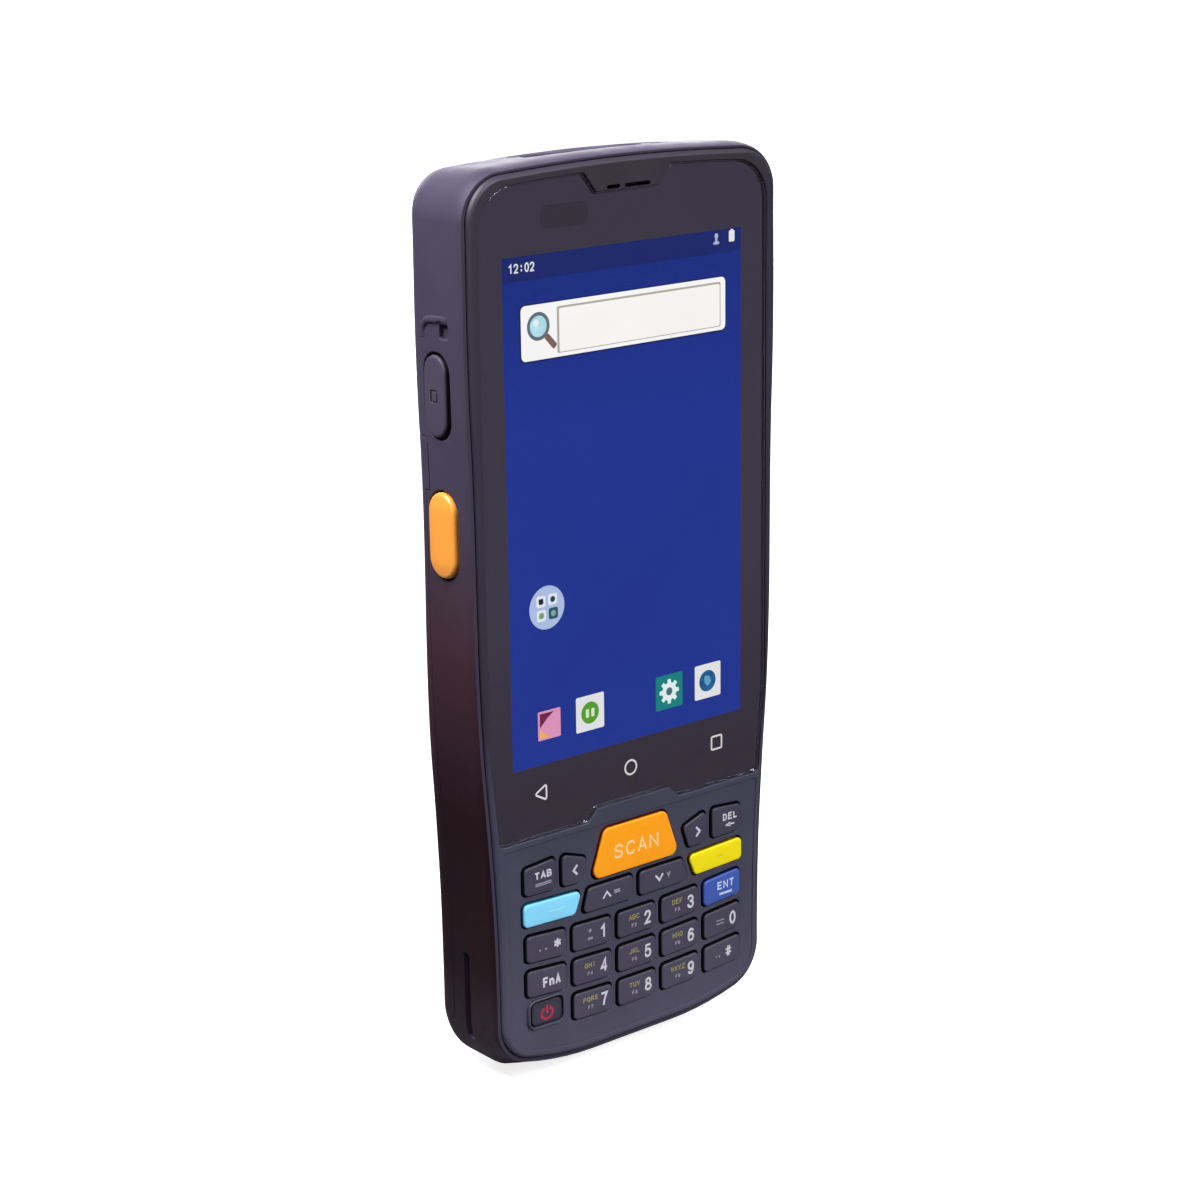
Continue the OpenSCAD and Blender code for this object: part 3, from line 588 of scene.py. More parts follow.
def gloss(name, colour, rough=0.12, specular=0.5, coat=1.0, coat_rough=0.04, vary=0.15, bevel_mm=0.1, spread=300):
    """A smooth glossy sheet with faint wipes in its gloss."""
    m, nt, bsdf = tree(name)
    tc = nt.nodes.new("ShaderNodeTexCoord").outputs["Object"]
    dark, light = tuple(c * (1 - vary) for c in colour), tuple(min(1, c * (1 + vary)) for c in colour)
    nt.links.new(blend_colour(nt, span(nt, noise(nt, tc, 70, 3), 0, 1), dark, light), bsdf.inputs["Base Color"])
    nt.links.new(span(nt, noise(nt, tc, spread, 4, 0.6), rough, rough + 0.07), bsdf.inputs["Roughness"])
    bsdf.inputs["Specular IOR Level"].default_value = specular
    bsdf.inputs["Coat Weight"].default_value = coat
    bsdf.inputs["Coat Roughness"].default_value = coat_rough
    if bevel_mm:
        bv = node(nt, "ShaderNodeBevel", Radius=bevel_mm * MM)
        bv.samples = 4
        nt.links.new(bv.outputs["Normal"], bsdf.inputs["Normal"])
        nt.links.new(bv.outputs["Normal"], bsdf.inputs["Coat Normal"])
    return m


def metal(name, colour, rough=0.3, brush=None):
    m, nt, bsdf = tree(name)
    tc = nt.nodes.new("ShaderNodeTexCoord").outputs["Object"]
    stretch = node(nt, "ShaderNodeMapping")
    stretch.inputs["Scale"].default_value = brush or (1, 1, 1)
    nt.links.new(tc, stretch.inputs["Vector"])
    n = noise(nt, stretch.outputs[0], 2200, 3)
    dark = tuple(c * 0.86 for c in colour)
    nt.links.new(blend_colour(nt, span(nt, n, 0, 1), dark, colour), bsdf.inputs["Base Color"])
    nt.links.new(span(nt, n, rough - 0.05, rough + 0.1), bsdf.inputs["Roughness"])
    bsdf.inputs["Metallic"].default_value = 1.0
    bv = node(nt, "ShaderNodeBevel", Radius=0.00008)
    bv.samples = 4
    bump = node(nt, "ShaderNodeBump", Strength=0.15, Distance=0.00002)
    nt.links.new(n, bump.inputs["Height"])
    nt.links.new(bv.outputs["Normal"], bump.inputs["Normal"])
    nt.links.new(bump.outputs["Normal"], bsdf.inputs["Normal"])
    return m


def lit(name, colour, strength=1.0, vary=0.06, scale=40, fade=None):
    """A lit patch of the display: it glows, with a faint unevenness, under a glossy sheet."""
    m, nt, bsdf = tree(name)
    tc = nt.nodes.new("ShaderNodeTexCoord").outputs["Object"]
    dark, light = tuple(c * (1 - vary) for c in colour), tuple(min(1, c * (1 + vary)) for c in colour)
    col = blend_colour(nt, span(nt, noise(nt, tc, scale, 2), 0, 1), dark, light)
    if fade:
        # a little dimmer towards the top of the picture
        sep = nt.nodes.new("ShaderNodeSeparateXYZ")
        nt.links.new(tc, sep.inputs[0])
        col = blend_colour(nt, span(nt, sep.outputs["Z"], 0, 1, fade[0], fade[1]), col, tuple(c * fade[2] for c in colour))
    nt.links.new(col, bsdf.inputs["Emission Color"])
    bsdf.inputs["Emission Strength"].default_value = strength
    bsdf.inputs["Base Color"].default_value = (0.0, 0.0, 0.0, 1)
    nt.links.new(span(nt, noise(nt, tc, 300, 4, 0.6), 0.4, 0.5), bsdf.inputs["Roughness"])
    bsdf.inputs["Specular IOR Level"].default_value = 0.0
    return m


def clear_pane(name):
    """The touch glass: clear, with faint wipes in its gloss."""
    m, nt, bsdf = tree(name)
    tc = nt.nodes.new("ShaderNodeTexCoord").outputs["Object"]
    nt.links.new(blend_colour(nt, span(nt, noise(nt, tc, 70, 3), 0, 1), (0.93, 0.93, 0.94), (0.97, 0.97, 0.97)), bsdf.inputs["Base Color"])
    nt.links.new(span(nt, noise(nt, tc, 160, 4, 0.6), 0.0, 0.004), bsdf.inputs["Roughness"])
    bsdf.inputs["Transmission Weight"].default_value = 1.0
    bsdf.inputs["IOR"].default_value = 1.45
    return m


def print_with_painted_light(name, colour, painted_light_colour, low=None):
    """Print on the back of the glass, with painted light: it glows faintly in place of the light it would catch. low is
    its painted shade at the keypad end.
    """
    m, nt, bsdf = tree(name)
    tc = nt.nodes.new("ShaderNodeTexCoord").outputs["Object"]
    n = noise(nt, tc, 60, 3)
    nt.links.new(blend_colour(nt, span(nt, n, 0, 1), tuple(c * 0.85 for c in colour), colour), bsdf.inputs["Base Color"])
    shade = blend_colour(nt, span(nt, n, 0, 1), tuple(c * 0.94 for c in painted_light_colour), painted_light_colour)
    if low:
        sep = nt.nodes.new("ShaderNodeSeparateXYZ")
        nt.links.new(tc, sep.inputs[0])
        shade = blend_colour(nt, span(nt, sep.outputs["Z"], 1, 0, 0.052, 0.085), shade, low)
    nt.links.new(shade, bsdf.inputs["Emission Color"])
    bsdf.inputs["Emission Strength"].default_value = 1.0
    bsdf.inputs["Roughness"].default_value = 0.6
    bsdf.inputs["Specular IOR Level"].default_value = 0.0
    return m


def ink(name, colour, rough=0.55):
    m, nt, bsdf = tree(name)
    tc = nt.nodes.new("ShaderNodeTexCoord").outputs["Object"]
    n = noise(nt, tc, 2600, 3)
    nt.links.new(blend_colour(nt, span(nt, n, 0, 1, 0.35, 0.6), tuple(c * 0.82 for c in colour), colour), bsdf.inputs["Base Color"])
    nt.links.new(span(nt, n, rough - 0.08, rough + 0.08), bsdf.inputs["Roughness"])
    return m


SHELL = rgb(58, 54, 69)
KEYTOP = rgb(58, 55, 73)
# painted shade on the long sides: darker and redder towards the keypad end, darkest between about 50 and 80 mm up, a
# little lighter again at the very bottom
SIDE_PAINTED_SHADE = [(0.078, 0.108, rgb(57, 36, 44)), (0.050, 0.080, rgb(30, 14, 18)), (0.002, 0.022, rgb(52, 40, 48))]
M = {
    # housing and battery door: painted shade on their long sides
    "housing": plastic("housing_plastic", SHELL, 0.50, 0.28, wear=0.22, specular=0.12, foot=SIDE_PAINTED_SHADE, flanks=True),
    "door": plastic("door_plastic", tuple(c * 0.96 for c in SHELL), 0.52, 0.30, wear=0.22, specular=0.12, foot=SIDE_PAINTED_SHADE, flanks=True),
    # painted light: the front cover is lighter towards the keypad end and darker round the glass
    "cover": plastic("cover_plastic", rgb(46, 43, 54), 0.46, 0.22, grain_mm=0.3, wear=0.3, specular=0.3, foot=[(0.056, 0.066, rgb(60, 60, 77)), (0.008, 0.048, rgb(72, 70, 88))]),
    "glass": clear_pane("touch_glass_clear"),
    # painted light: the black print on the glass and the sensor patch glow faintly; the print's glow has painted shade
    # towards the keypad end
    "mask": print_with_painted_light("glass_mask", (0.0, 0.0, 0.0), (0.045, 0.038, 0.060), (0.033, 0.025, 0.040)),
    "sensor": print_with_painted_light("sensor_patch", (0.0, 0.0, 0.0), (0.034, 0.030, 0.045)),
    # dark keys: painted light makes them lighter towards the keypad's lower end; painted shade darkens their sides
    # towards their foot
    "key": plastic("key_dark", KEYTOP, 0.44, 0.18, grain_mm=0.25, bevel_mm=0.08, specular=0.35, foot=[(0.008, 0.050, rgb(71, 67, 86))], wall_shade=(-0.36, -0.16, rgb(7, 6, 10))),
    # coloured keys: painted shade darkens their sides towards their foot
    "orange": plastic("key_orange", rgb(250, 158, 16), 0.40, 0.12, grain_mm=0.25, vary=0.03, bevel_mm=0.08, specular=0.3, wall_shade=(-0.25, 0.05, rgb(120, 36, 6))),
    "cyan": plastic("key_cyan", rgb(132, 212, 246), 0.40, 0.12, grain_mm=0.25, vary=0.03, bevel_mm=0.08, specular=0.3, wall_shade=(-0.25, 0.05, rgb(14, 92, 122))),
    "yellow": plastic("key_yellow", rgb(238, 220, 10), 0.40, 0.12, grain_mm=0.25, vary=0.03, bevel_mm=0.08, specular=0.3, wall_shade=(-0.25, 0.05, rgb(110, 84, 6))),
    "blue": plastic("key_blue", rgb(60, 87, 168), 0.40, 0.12, grain_mm=0.25, vary=0.05, bevel_mm=0.08, specular=0.35, wall_shade=(-0.25, 0.05, rgb(14, 22, 74))),
    "trigger": plastic("trigger_orange", rgb(230, 150, 56), 0.36, 0.12, grain_mm=0.3, vary=0.04, bevel_mm=0.1, coat=0.15),
    # port flap: painted shade on its rim nearest the body
    "rubber": plastic("flap_rubber", rgb(60, 54, 70), 0.60, 0.25, grain_mm=0.25, specular=0.3, side=(-0.03415, -0.03385, rgb(12, 10, 14))),
    "rocker": plastic("rocker_plastic", rgb(50, 46, 58), 0.46, 0.2, specular=0.35),
    "seal": plastic("seal_rubber", rgb(22, 22, 24), 0.7, 0.2, bevel_mm=0),
    "dark": plastic("module_plastic", rgb(30, 30, 33), 0.5, 0.2, bevel_mm=0),
    "battery": plastic("battery_case", rgb(34, 35, 39), 0.38, 0.15, vary=0.12, bevel_mm=0.1),
    "battery_wrap": plastic("battery_wrap", rgb(196, 198, 202), 0.5, 0.12, vary=0.04, bevel_mm=0),
    "white": ink("legend_white", rgb(206, 204, 214)),
    "grey": ink("legend_grey", rgb(150, 150, 158)),
    "mustard": ink("legend_mustard", rgb(150, 144, 74)),
    "pale": ink("legend_soft_white", rgb(150, 148, 160)),
    "red": ink("legend_red", rgb(178, 34, 58)),
    "pale_on_orange": ink("legend_pale", rgb(255, 214, 150)),
    "pale_on_cyan": ink("legend_pale_cyan", rgb(170, 226, 240)),
    "pale_on_yellow": ink("legend_pale_yellow", rgb(222, 196, 60)),
    "pale_on_blue": ink("legend_pale_blue", rgb(196, 208, 240)),
    # the white marks are print; they glow as painted light instead of being lit
    "nav": print_with_painted_light("nav_white", (0.0, 0.0, 0.0), rgb(222, 218, 220)),
    "steel": metal("stamped_steel", (0.60, 0.60, 0.59), 0.28, (1, 1, 8)),
    "screw": metal("screw_black", (0.16, 0.16, 0.17), 0.36),
    "alu": metal("frame_metal", (0.58, 0.59, 0.61), 0.35, (1, 1, 6)),
    "gold": metal("gold_contact", (0.83, 0.60, 0.25), 0.22),
    "board": gloss("solder_mask", (0.01, 0.11, 0.045), 0.25, coat=0.4, bevel_mm=0),
    "flex": gloss("flex_film", (0.42, 0.20, 0.04), 0.25, coat=0.4, bevel_mm=0),
    "window": gloss("scan_window_red", (0.035, 0.002, 0.004), 0.06, coat=1.0, bevel_mm=0.08),
    "lens": gloss("camera_glass", (0.006, 0.006, 0.009), 0.05, coat=1.0, bevel_mm=0.08),
    "clear": gloss("clear_lens", (0.80, 0.80, 0.72), 0.10, coat=1.0, bevel_mm=0.08),
    "panel": gloss("panel_back", (0.05, 0.05, 0.06), 0.2, bevel_mm=0),
}

# --------------------------------------------------------------- stage and lights
BACKDROP, bd, bd_b = tree("floor_paper")
bd_tc = bd.nodes.new("ShaderNodeTexCoord").outputs["Object"]
bd_path = bd.nodes.new("ShaderNodeLightPath").outputs["Is Camera Ray"]
bd_seen = blend_colour(bd, span(bd, noise(bd, bd_tc, 6, 3), 0, 1), (0.50, 0.50, 0.51), (0.54, 0.54, 0.545))
bd_far = node(bd, "ShaderNodeVectorMath", _operation="LENGTH")
bd.links.new(bd_tc, bd_far.inputs[0])
bd_back = blend_colour(bd, span(bd, bd_far.outputs["Value"], 0, 1, 0.045, 0.080), (0.20, 0.195, 0.205), (0.085, 0.08, 0.095))
bd.links.new(blend_colour(bd, bd_path, bd_back, bd_seen), bd_b.inputs["Base Color"])
bd_b.inputs["Roughness"].default_value = 0.8
bd_b.inputs["Specular IOR Level"].default_value = 0.1
# seen directly the paper is lifted to white, as a lit studio sweep is; what it throws back on the object is weaker
bd_b.inputs["Emission Color"].default_value = (1, 1, 1, 1)
bd_lift = node(bd, "ShaderNodeMath", _operation="MULTIPLY")
bd.links.new(span(bd, bd_far.outputs["Value"], 0.8, 1.03, 0.35, 1.1), bd_lift.inputs[0])
bd.links.new(bd_path, bd_lift.inputs[1])
bd.links.new(bd_lift.outputs[0], bd_b.inputs["Emission Strength"])
prof = [(-3.0, 0.0)] + [(2.2 + 1.2 * math.sin(a), 1.2 - 1.2 * math.cos(a)) for a in np.linspace(0, math.pi / 2, 24)] + [(3.4, 4.0)]
rows = []
for across in np.linspace(-4.0, 4.0, 9):
    rows.append([(across, p[0], p[1]) for p in prof])
fv = [v for r in rows for v in r]
fn = len(prof)
ff = [(a * fn + b, a * fn + b + 1, (a + 1) * fn + b + 1, (a + 1) * fn + b) for a in range(len(rows) - 1) for b in range(fn - 1)]
floor_me = bpy.data.meshes.new("floor")
floor_me.from_pydata(fv, [], ff)
floor_me.polygons.foreach_set("use_smooth", [True] * len(floor_me.polygons))
floor_me.materials.append(BACKDROP)
floor = bpy.data.objects.new("floor", floor_me)
scene.collection.objects.link(floor)
floor.rotation_euler = (0, 0, -math.atan2(-CAM_BACK[0], -CAM_BACK[1]))

world = bpy.data.worlds.new("studio")
scene.world = world
world.use_nodes = True
world.node_tree.nodes["Background"].inputs[0].default_value = (0.96, 0.97, 1.0, 1)
world_path = world.node_tree.nodes.new("ShaderNodeLightPath").outputs["Is Camera Ray"]
world.node_tree.links.new(span(world.node_tree, world_path, 0.12, 1.25, 0, 1), world.node_tree.nodes["Background"].inputs[1])


def area(name, pos, target, size, power, colour=(1, 1, 1)):
    d = bpy.data.lights.new(name, "AREA")
    d.shape, d.size, d.size_y, d.energy, d.color = "RECTANGLE", size[0], size[1], power, colour
    o = bpy.data.objects.new(name, d)
    o.visible_camera = False
    scene.collection.objects.link(o)
    o.location = pos
    o.rotation_euler = (Vector(target) - Vector(pos)).to_track_quat("-Z", "Y").to_euler()
    return o


area("key_light", (0.45, -1.3, 1.1), (0, 0, 0.08), (0.9, 0.9), 33)
area("top_light", (-0.20, 0.02, 0.40), (0, 0, 0.14), (0.22, 0.22), 3.5, (0.95, 0.94, 1.0))
area("back_panel", (0.75, 1.05, 0.42), (0, 0, 0.16), (1.3, 0.6), 17, (0.95, 0.94, 1.0))

# --------------------------------------------------------------- rear housing
IN_POCKET, IN_COVER = 0.95, 1.10
WALL, LEDGE_Y, BAY_Z, LIP_Y = 2.2, 2.6, 13.7, 1.0
TRIG_Y, TRIG_Z, TRIG_W, TRIG_L = 8.0, 96.4, 7.0, 14.5
PORT_Y, PORT_Z, ROCK_Z, ROCK_L, ROCK_W = 8.2, 119.6, 119.6, 20.0, 5.0
FLAP_Y = 8.5
DOOR_TOP = 112.5
FRONT_YS = [LIP_Y, 1.08, 1.22, 1.5, 1.8, 2.1, 2.4, 2.9, 3.4, 4.0, 4.6, 5.3, 6.0, 6.7, 7.4, 8.0, 9.2, D - 8.2]
BACK_YS = [D - 8 + 8 * math.sin(a) for a in np.linspace(0, math.pi / 2, 20)]


def body_loft(off=0.0, y0=None):
    if off == 0.0:
        ys = FRONT_YS + BACK_YS
    else:
        ys = [y0, 6.0, 8.0] + [D - off - (8 - off) + (8 - off) * math.sin(a) for a in np.linspace(0, math.pi / 2, 16)]
    return loft("tool", [ring(y, off) for y in ys])


def clip_box(tool, boxes):
    return boolean(tool, [blk(a, b) for a, b in boxes])


def door_profile(line):
    return wide(line, -60, 60)


DOOR_LINE = [(12.8, 8), (12.8, 103.3), (11.4, 103.3), (11.4, DOOR_TOP - 1.4), (11.5, DOOR_TOP - 0.9), (11.75, DOOR_TOP - 0.5), (12.1, DOOR_TOP - 0.15), (12.5, DOOR_TOP), (D + 9, DOOR_TOP), (D + 9, 8)]
DOOR_IN = [(12.95, 8.15), (12.95, 103.5), (11.6, 103.5), (11.6, DOOR_TOP - 1.5), (11.7, DOOR_TOP - 1.1), (11.95, DOOR_TOP - 0.75), (12.3, DOOR_TOP - 0.42), (12.65, DOOR_TOP - 0.3), (D + 9, DOOR_TOP - 0.3), (D + 9, 8.15)]

housing = body_loft()
# screw bosses stay in the hollow, so the hollows are cut first and the bosses joined after
hollows = [
    slab(inset_xz(IN_POCKET), -1, LEDGE_Y),
    slab(inset_xz(WALL), LEDGE_Y - 0.1, 8.6),
]
deep = slab(inset_xz(WALL), 8.5, 12.4)
boolean(deep, [slab(inset_xz(WALL + 2.3), 12.3, 15.2), slab(inset_xz(WALL + 5.2), 15.1, D - 1.8)], "UNION")
clip_box(deep, [((-50, 0, -5), (50, 30, DOOR_TOP + 1.6))])
middle = clip_box(slab(inset_xz(WALL), 8.5, 10.2), [((-50, 0, -5), (50, 30, 103.4))])
beside = clip_box(slab(inset_xz(WALL), 8.5, 11.6), [((-27.5, 0, -5), (27.5, 30, 200)), ((-50, 0, -5), (50, 30, 14)), ((-50, 0, 102), (50, 30, 200))])
boolean(housing, hollows + [deep, middle, beside])
boolean(housing, [bar_y(x, 148.6, 2.9, 8.55, 16) for x in (-26.2, 26.2)], "UNION")



def side_ridge(s, path, width, height):
    """A rounded ridge that follows a path of (y, z) points on the body's side."""
    path = np.asarray(path, float)
    d = np.gradient(path, axis=0)
    d /= np.linalg.norm(d, axis=1)[:, None]
    nrm = np.column_stack([-d[:, 1], d[:, 0]])
    rings, m = [], 10
    for k, (p, q) in enumerate(zip(path, nrm)):
        fade = min(1.0, 0.15 + k / 2.5, 0.15 + (len(path) - 1 - k) / 2.5)
        ring_pts = []
        for t in np.linspace(-1, 1, m):
            c = p + q * t * width / 2
            ring_pts.append((s * (side_x(c[0], c[1]) + height * fade * math.sqrt(max(0.0, 1 - t * t)) - 0.02), c[0], c[1]))
        for t in (1, -1):
            c = p + q * t * width / 2
            ring_pts.append((s * (side_x(c[0], c[1]) - 0.5), c[0], c[1]))
        rings.append(np.array(ring_pts))
    return loft("tool", rings)


hood_path = [(11.5, 129.0), (11.55, 130.2), (11.2, 131.2), (10.3, 131.9), (9.0, 132.15), (7.6, 132.2), (6.2, 132.3), (5.0, 132.35)]
boolean(housing, [side_ridge(-1, hood_path, 1.3, 0.42)], "UNION")

rrect = round_poly([(-1.15, 1.2), (1.15, 1.2), (1.15, -1.2), (-1.15, -1.2)], 0.4, 5)
tools = [
    blk((-26.3, 9.8, BAY_Z), (26.3, 30, 102)),
    door_profile(DOOR_LINE),
    blk((-3.4, 15.6, DOOR_TOP - 0.1), (3.4, D + 1, DOOR_TOP + 1.7)),
    side_tool(-1, TRIG_Y, TRIG_Z, TRIG_W + 0.6, TRIG_L + 0.6, 29, 0.32),
    side_tool(1, TRIG_Y, TRIG_Z, TRIG_W + 0.6, TRIG_L + 0.6, 29, 0.32),
    side_tool(1, PORT_Y, ROCK_Z, ROCK_W + 0.5, ROCK_L + 0.5, 29, 0.28),
    side_tool(-1, PORT_Y, PORT_Z, 6.9, 14.5, 33.2, 0.25),
    blk((-36, PORT_Y - 2.1, PORT_Z - 5.2), (-31, PORT_Y + 2.1, PORT_Z + 5.6)),
    side_tool(-1, 5.85, 130.4, 0, 0, 33.3, 0.2, rrect),
    side_tool(-1, 9.1, 13.5, 1.7, 16.5, 28.9, 0.25),
    side_tool(1, 9.1, 13.5, 1.7, 16.5, 28.9, 0.25),
    bar_y(14, 141, 4.6, 13, D + 1),
    back_tool(circle(4.6, 64, 14, 141), 17, 0.3),
    back_tool(circle(2.2, 48, 22.6, 141), 13, 0.2),
    blk((-25, 13, 120.4), (-11, D - 1.0, 131.6)),
]
for x in (-17, 17):
    tools.append(blk((x - 3.4, 16.0, 6.4), (x + 3.4, 17.7, 8.2)))
for i in range(-2, 3):
    for j in range(-1, 2):
        tools.append(back_tool(circle(0.6, 24, -18 + 2.4 * i, 126 + 2.4 * j), 13, 0.12))
for x in (-26.2, 26.2):
    tools += [bar_y(x, 148.6, 1.25, 6, D + 1), back_tool(circle(2.3, 48, x, 148.6), D - 4.6, 0.2)]
for x in (-26.9, 26.9):
    tools += [bar_y(x, 10.9, 1.25, 5, D + 1), bar_y(x, 10.9, 2.1, 11.9, D + 1), bar_y(x, 10.9, 1.8, 2, 8.7)]
for x in (-7.5, -2.5, 2.5, 7.5):
    tools.append(bar_z(x, 9.4, 1.3, -3.6, 3.2))
tools.append(bar_z(14, 5.5, 0.5, -3.6, 4, 24))
for x in (-9, -3, 3, 9):
    tools.append(bar_z(x, 12.2, 0.85, BAY_Z - 1.2, BAY_Z + 0.8, 24))
# scan window recess in the top end, with a shallow scoop whose edge is soft
scoop = round_poly([(-15.5, 6.6), (15.5, 6.6), (15.5, 13.2), (-15.5, 13.2)], 1.6, 7)
rings = []
for k, (o, dpt) in enumerate(fillet_steps(0.5, 0.2)):
    p = offset_line(scoop, o)
    if k == 0:
        rings.append(np.column_stack([p[:, 0], p[:, 1], np.full(len(p), 160.0)]))
    rings.append(np.array([(q[0], q[1], top_z(q[0], q[1]) - dpt) for q in p]))
rings.append(at_z(offset_line(scoop, -0.25), 156.0 + 0.12))
rings.append(at_z(offset_line(scoop, -0.55), 156.0))
tools.append(loft("tool", rings))
win = round_poly([(-13, 7.4), (13, 7.4), (13, 12.4), (-13, 12.4)], 0.7, 6)
tools.append(loft("tool", [at_z(offset_line(win, 0.3), 156.15), at_z(offset_line(win, 0.08), 155.9), at_z(win, 155.6), at_z(win, 151)]))
boolean(housing, tools)
place(housing, "housing_shell", "root", M["housing"], "housing_plastic", ["rear_housing"], 30)

# --------------------------------------------------------------- battery door
door = body_loft()
boolean(door, [body_loft(1.5, 4.0)])
boolean(door, [door_profile(DOOR_IN)], "INTERSECT")
scoop2 = round_poly([(-6.2, 101.2), (6.2, 101.2), (6.2, 109.6), (-6.2, 109.6)], 1.4, 7)
boolean(door, [
    loft("tool", [at_y(offset_line(scoop2, 0.55), D + 0.2), at_y(offset_line(scoop2, 0.28), D - 0.02), at_y(offset_line(scoop2, 0.08), D - 0.2), at_y(offset_line(scoop2, -0.1), D - 0.36), at_y(offset_line(scoop2, -0.45), D - 0.48), at_y(offset_line(scoop2, -0.8), D - 0.5)]),
    blk((-4.6, 15, 102.6), (4.6, D + 1, 108.7)),
])
boolean(door, [blk((x - 3, 16.4, 6.8), (x + 3, 17.4, 12)) for x in (-17, 17)] + [blk((x - 0.5, 16.0, 16), (x + 0.5, 17.45, 98)) for x in (-28.2, 28.2)], "UNION")
place(door, "door_shell", "battery_door", M["door"], "housing_plastic", ["battery_door"], 30)

# latch: a knob with three ridges on a hidden plate
knob = rounded_prism(round_poly([(-4.3, 104.9), (4.3, 104.9), (4.3, 108.4), (-4.3, 108.4)], 0.5, 5), 17.0, D - 0.15, 0.3)
ridges = []
for z in (105.7, 106.65, 107.6):
    ridges.append(rounded_prism(round_poly([(-3.6, z - 0.24), (3.6, z - 0.24), (3.6, z + 0.24), (-3.6, z + 0.24)], 0.2, 4), D - 0.6, D - 0.01, 0.12))
boolean(knob, ridges + [rounded_prism(round_poly([(-7, 103.2), (7, 103.2), (7, 110.2), (-7, 110.2)], 0.6, 5), 16.0, 17.1, 0.2),
                        blk((-3, 16.05, 110.0), (3, 17.05, DOOR_TOP + 1.2))], "UNION")
place(knob, "latch_knob", "door_latch", M["rocker"], "rocker_plastic", ["door_latch"], 35)


# --------------------------------------------------------------- keys
def smile(x):
    return 0.75 * (x / 20.4) ** 2


def key_quad(x0, x1, zt, zb):
    return [(x0, zt + smile(x0)), (x1, zt + smile(x1)), (x1, zb + smile(x1)), (x0, zb + smile(x0))]


def key_cell(col, row):
    x, zt = 10.2 * col, 24.65 - 6.4 * row
    return key_quad(x - 4.4, x + 4.4, zt, zt - 4.9)


def flip(q):
    return [(-q[1][0], q[1][1]), (-q[0][0], q[0][1]), (-q[3][0], q[3][1]), (-q[2][0], q[2][1])]


Q_SCAN = [(-7.1, 41.0), (7.1, 41.0), (10.2, 32.2), (-10.2, 32.2)]
Q_TAB = [(-25.0, 38.1), (-18.0, 38.7), (-18.0, 32.9), (-25.0, 33.1)]
Q_LEFT = [(-16.7, 38.8), (-11.0, 36.9), (-12.4, 32.6), (-16.7, 32.8)]
Q_CYAN = [(-25.2, 31.6), (-12.3, 31.1), (-13.9, 27.0), (-25.2, 27.4)]
Q_UP = [(-10.9, 31.1), (-0.7, 31.1), (-0.7, 26.5), (-12.3, 26.6)]
Q_POWER = [(-23.9, 13.0), (-17.2, 12.9), (-17.2, 8.7), (-23.9, 8.9)]
KEYS = {
    "scan": (Q_SCAN, "orange", "key_orange"), "tab": (Q_TAB, "key", "key_dark"), "left": (Q_LEFT, "key", "key_dark"),
    "right": (flip(Q_LEFT), "key", "key_dark"), "delete": (flip(Q_TAB), "key", "key_dark"),
    "cyan": (Q_CYAN, "cyan", "key_cyan"), "up": (Q_UP, "key", "key_dark"), "down": (flip(Q_UP), "key", "key_dark"),
    "yellow": (flip(Q_CYAN), "yellow", "key_yellow"),
    "star": (key_cell(-2, 0), "key", "key_dark"), "1": (key_cell(-1, 0), "key", "key_dark"), "2": (key_cell(0, 0), "key", "key_dark"),
    "3": (key_cell(1, 0), "key", "key_dark"), "enter": (key_cell(2, 0), "blue", "key_blue"),
    "fn": (key_cell(-2, 1), "key", "key_dark"), "4": (key_cell(-1, 1), "key", "key_dark"), "5": (key_cell(0, 1), "key", "key_dark"),
    "6": (key_cell(1, 1), "key", "key_dark"), "0": (key_cell(2, 1), "key", "key_dark"),
    "power": (Q_POWER, "key", "key_dark"), "7": (key_cell(-1, 2), "key", "key_dark"), "8": (key_cell(0, 2), "key", "key_dark"),
    "9": (key_cell(1, 2), "key", "key_dark"), "hash": (key_cell(2, 2), "key", "key_dark"),
}
KEY_TOPS = {}


def key_line(q, g, r, n=7):
    return round_poly(grow(q, g), r, n)


def make_key(name):
    q, mat, slot = KEYS[name]
    proud = 0.3 if name == "power" else 0.45
    r = 1.5 if name == "scan" else 1.0
    rf, crown = (0.22 if name == "power" else 0.34), 0.05
    mid = np.mean(np.array(q), axis=0)
    rings = [at_y(key_line(q, 0.45, r), 2.75), at_y(key_line(q, 0.45, r), 2.15), at_y(key_line(q, 0.0, r), 2.12)]
    for y in (1.4, 0.7, -proud + crown + rf + 0.1):
        rings.append(at_y(key_line(q, 0.0, r), y))
    for a in np.radians(np.linspace(90, 0, 8)):
        rings.append(at_y(key_line(q, -rf * (1 - math.sin(a)), max(0.35, r - rf * (1 - math.sin(a)))), -proud + crown + rf * (1 - math.cos(a))))
    last = rings[-1]
    for s in (0.86, 0.70, 0.52, 0.34, 0.16):
        p = last.copy()
        p[:, 0] = mid[0] + (last[:, 0] - mid[0]) * s
        p[:, 2] = mid[1] + (last[:, 2] - mid[1]) * s
        p[:, 1] = -proud + crown * s ** 3
        rings.append(p)
    v, f = dome_data(rings, (mid[0], -proud, mid[1]))
    ob = new_object("key", v, f)
    KEY_TOPS[name] = BVHTree.FromPolygons([tuple(map(float, p)) for p in v], [tuple(x) for x in f])
    boolean(ob, [bar_y(mid[0], mid[1], 1.3, 2.6, 3.75, 32)], "UNION")
    place(ob, "keycap_" + name, "key_" + name, M[mat], slot, ["key_" + name], 40)


for k in KEYS:
    make_key(k)

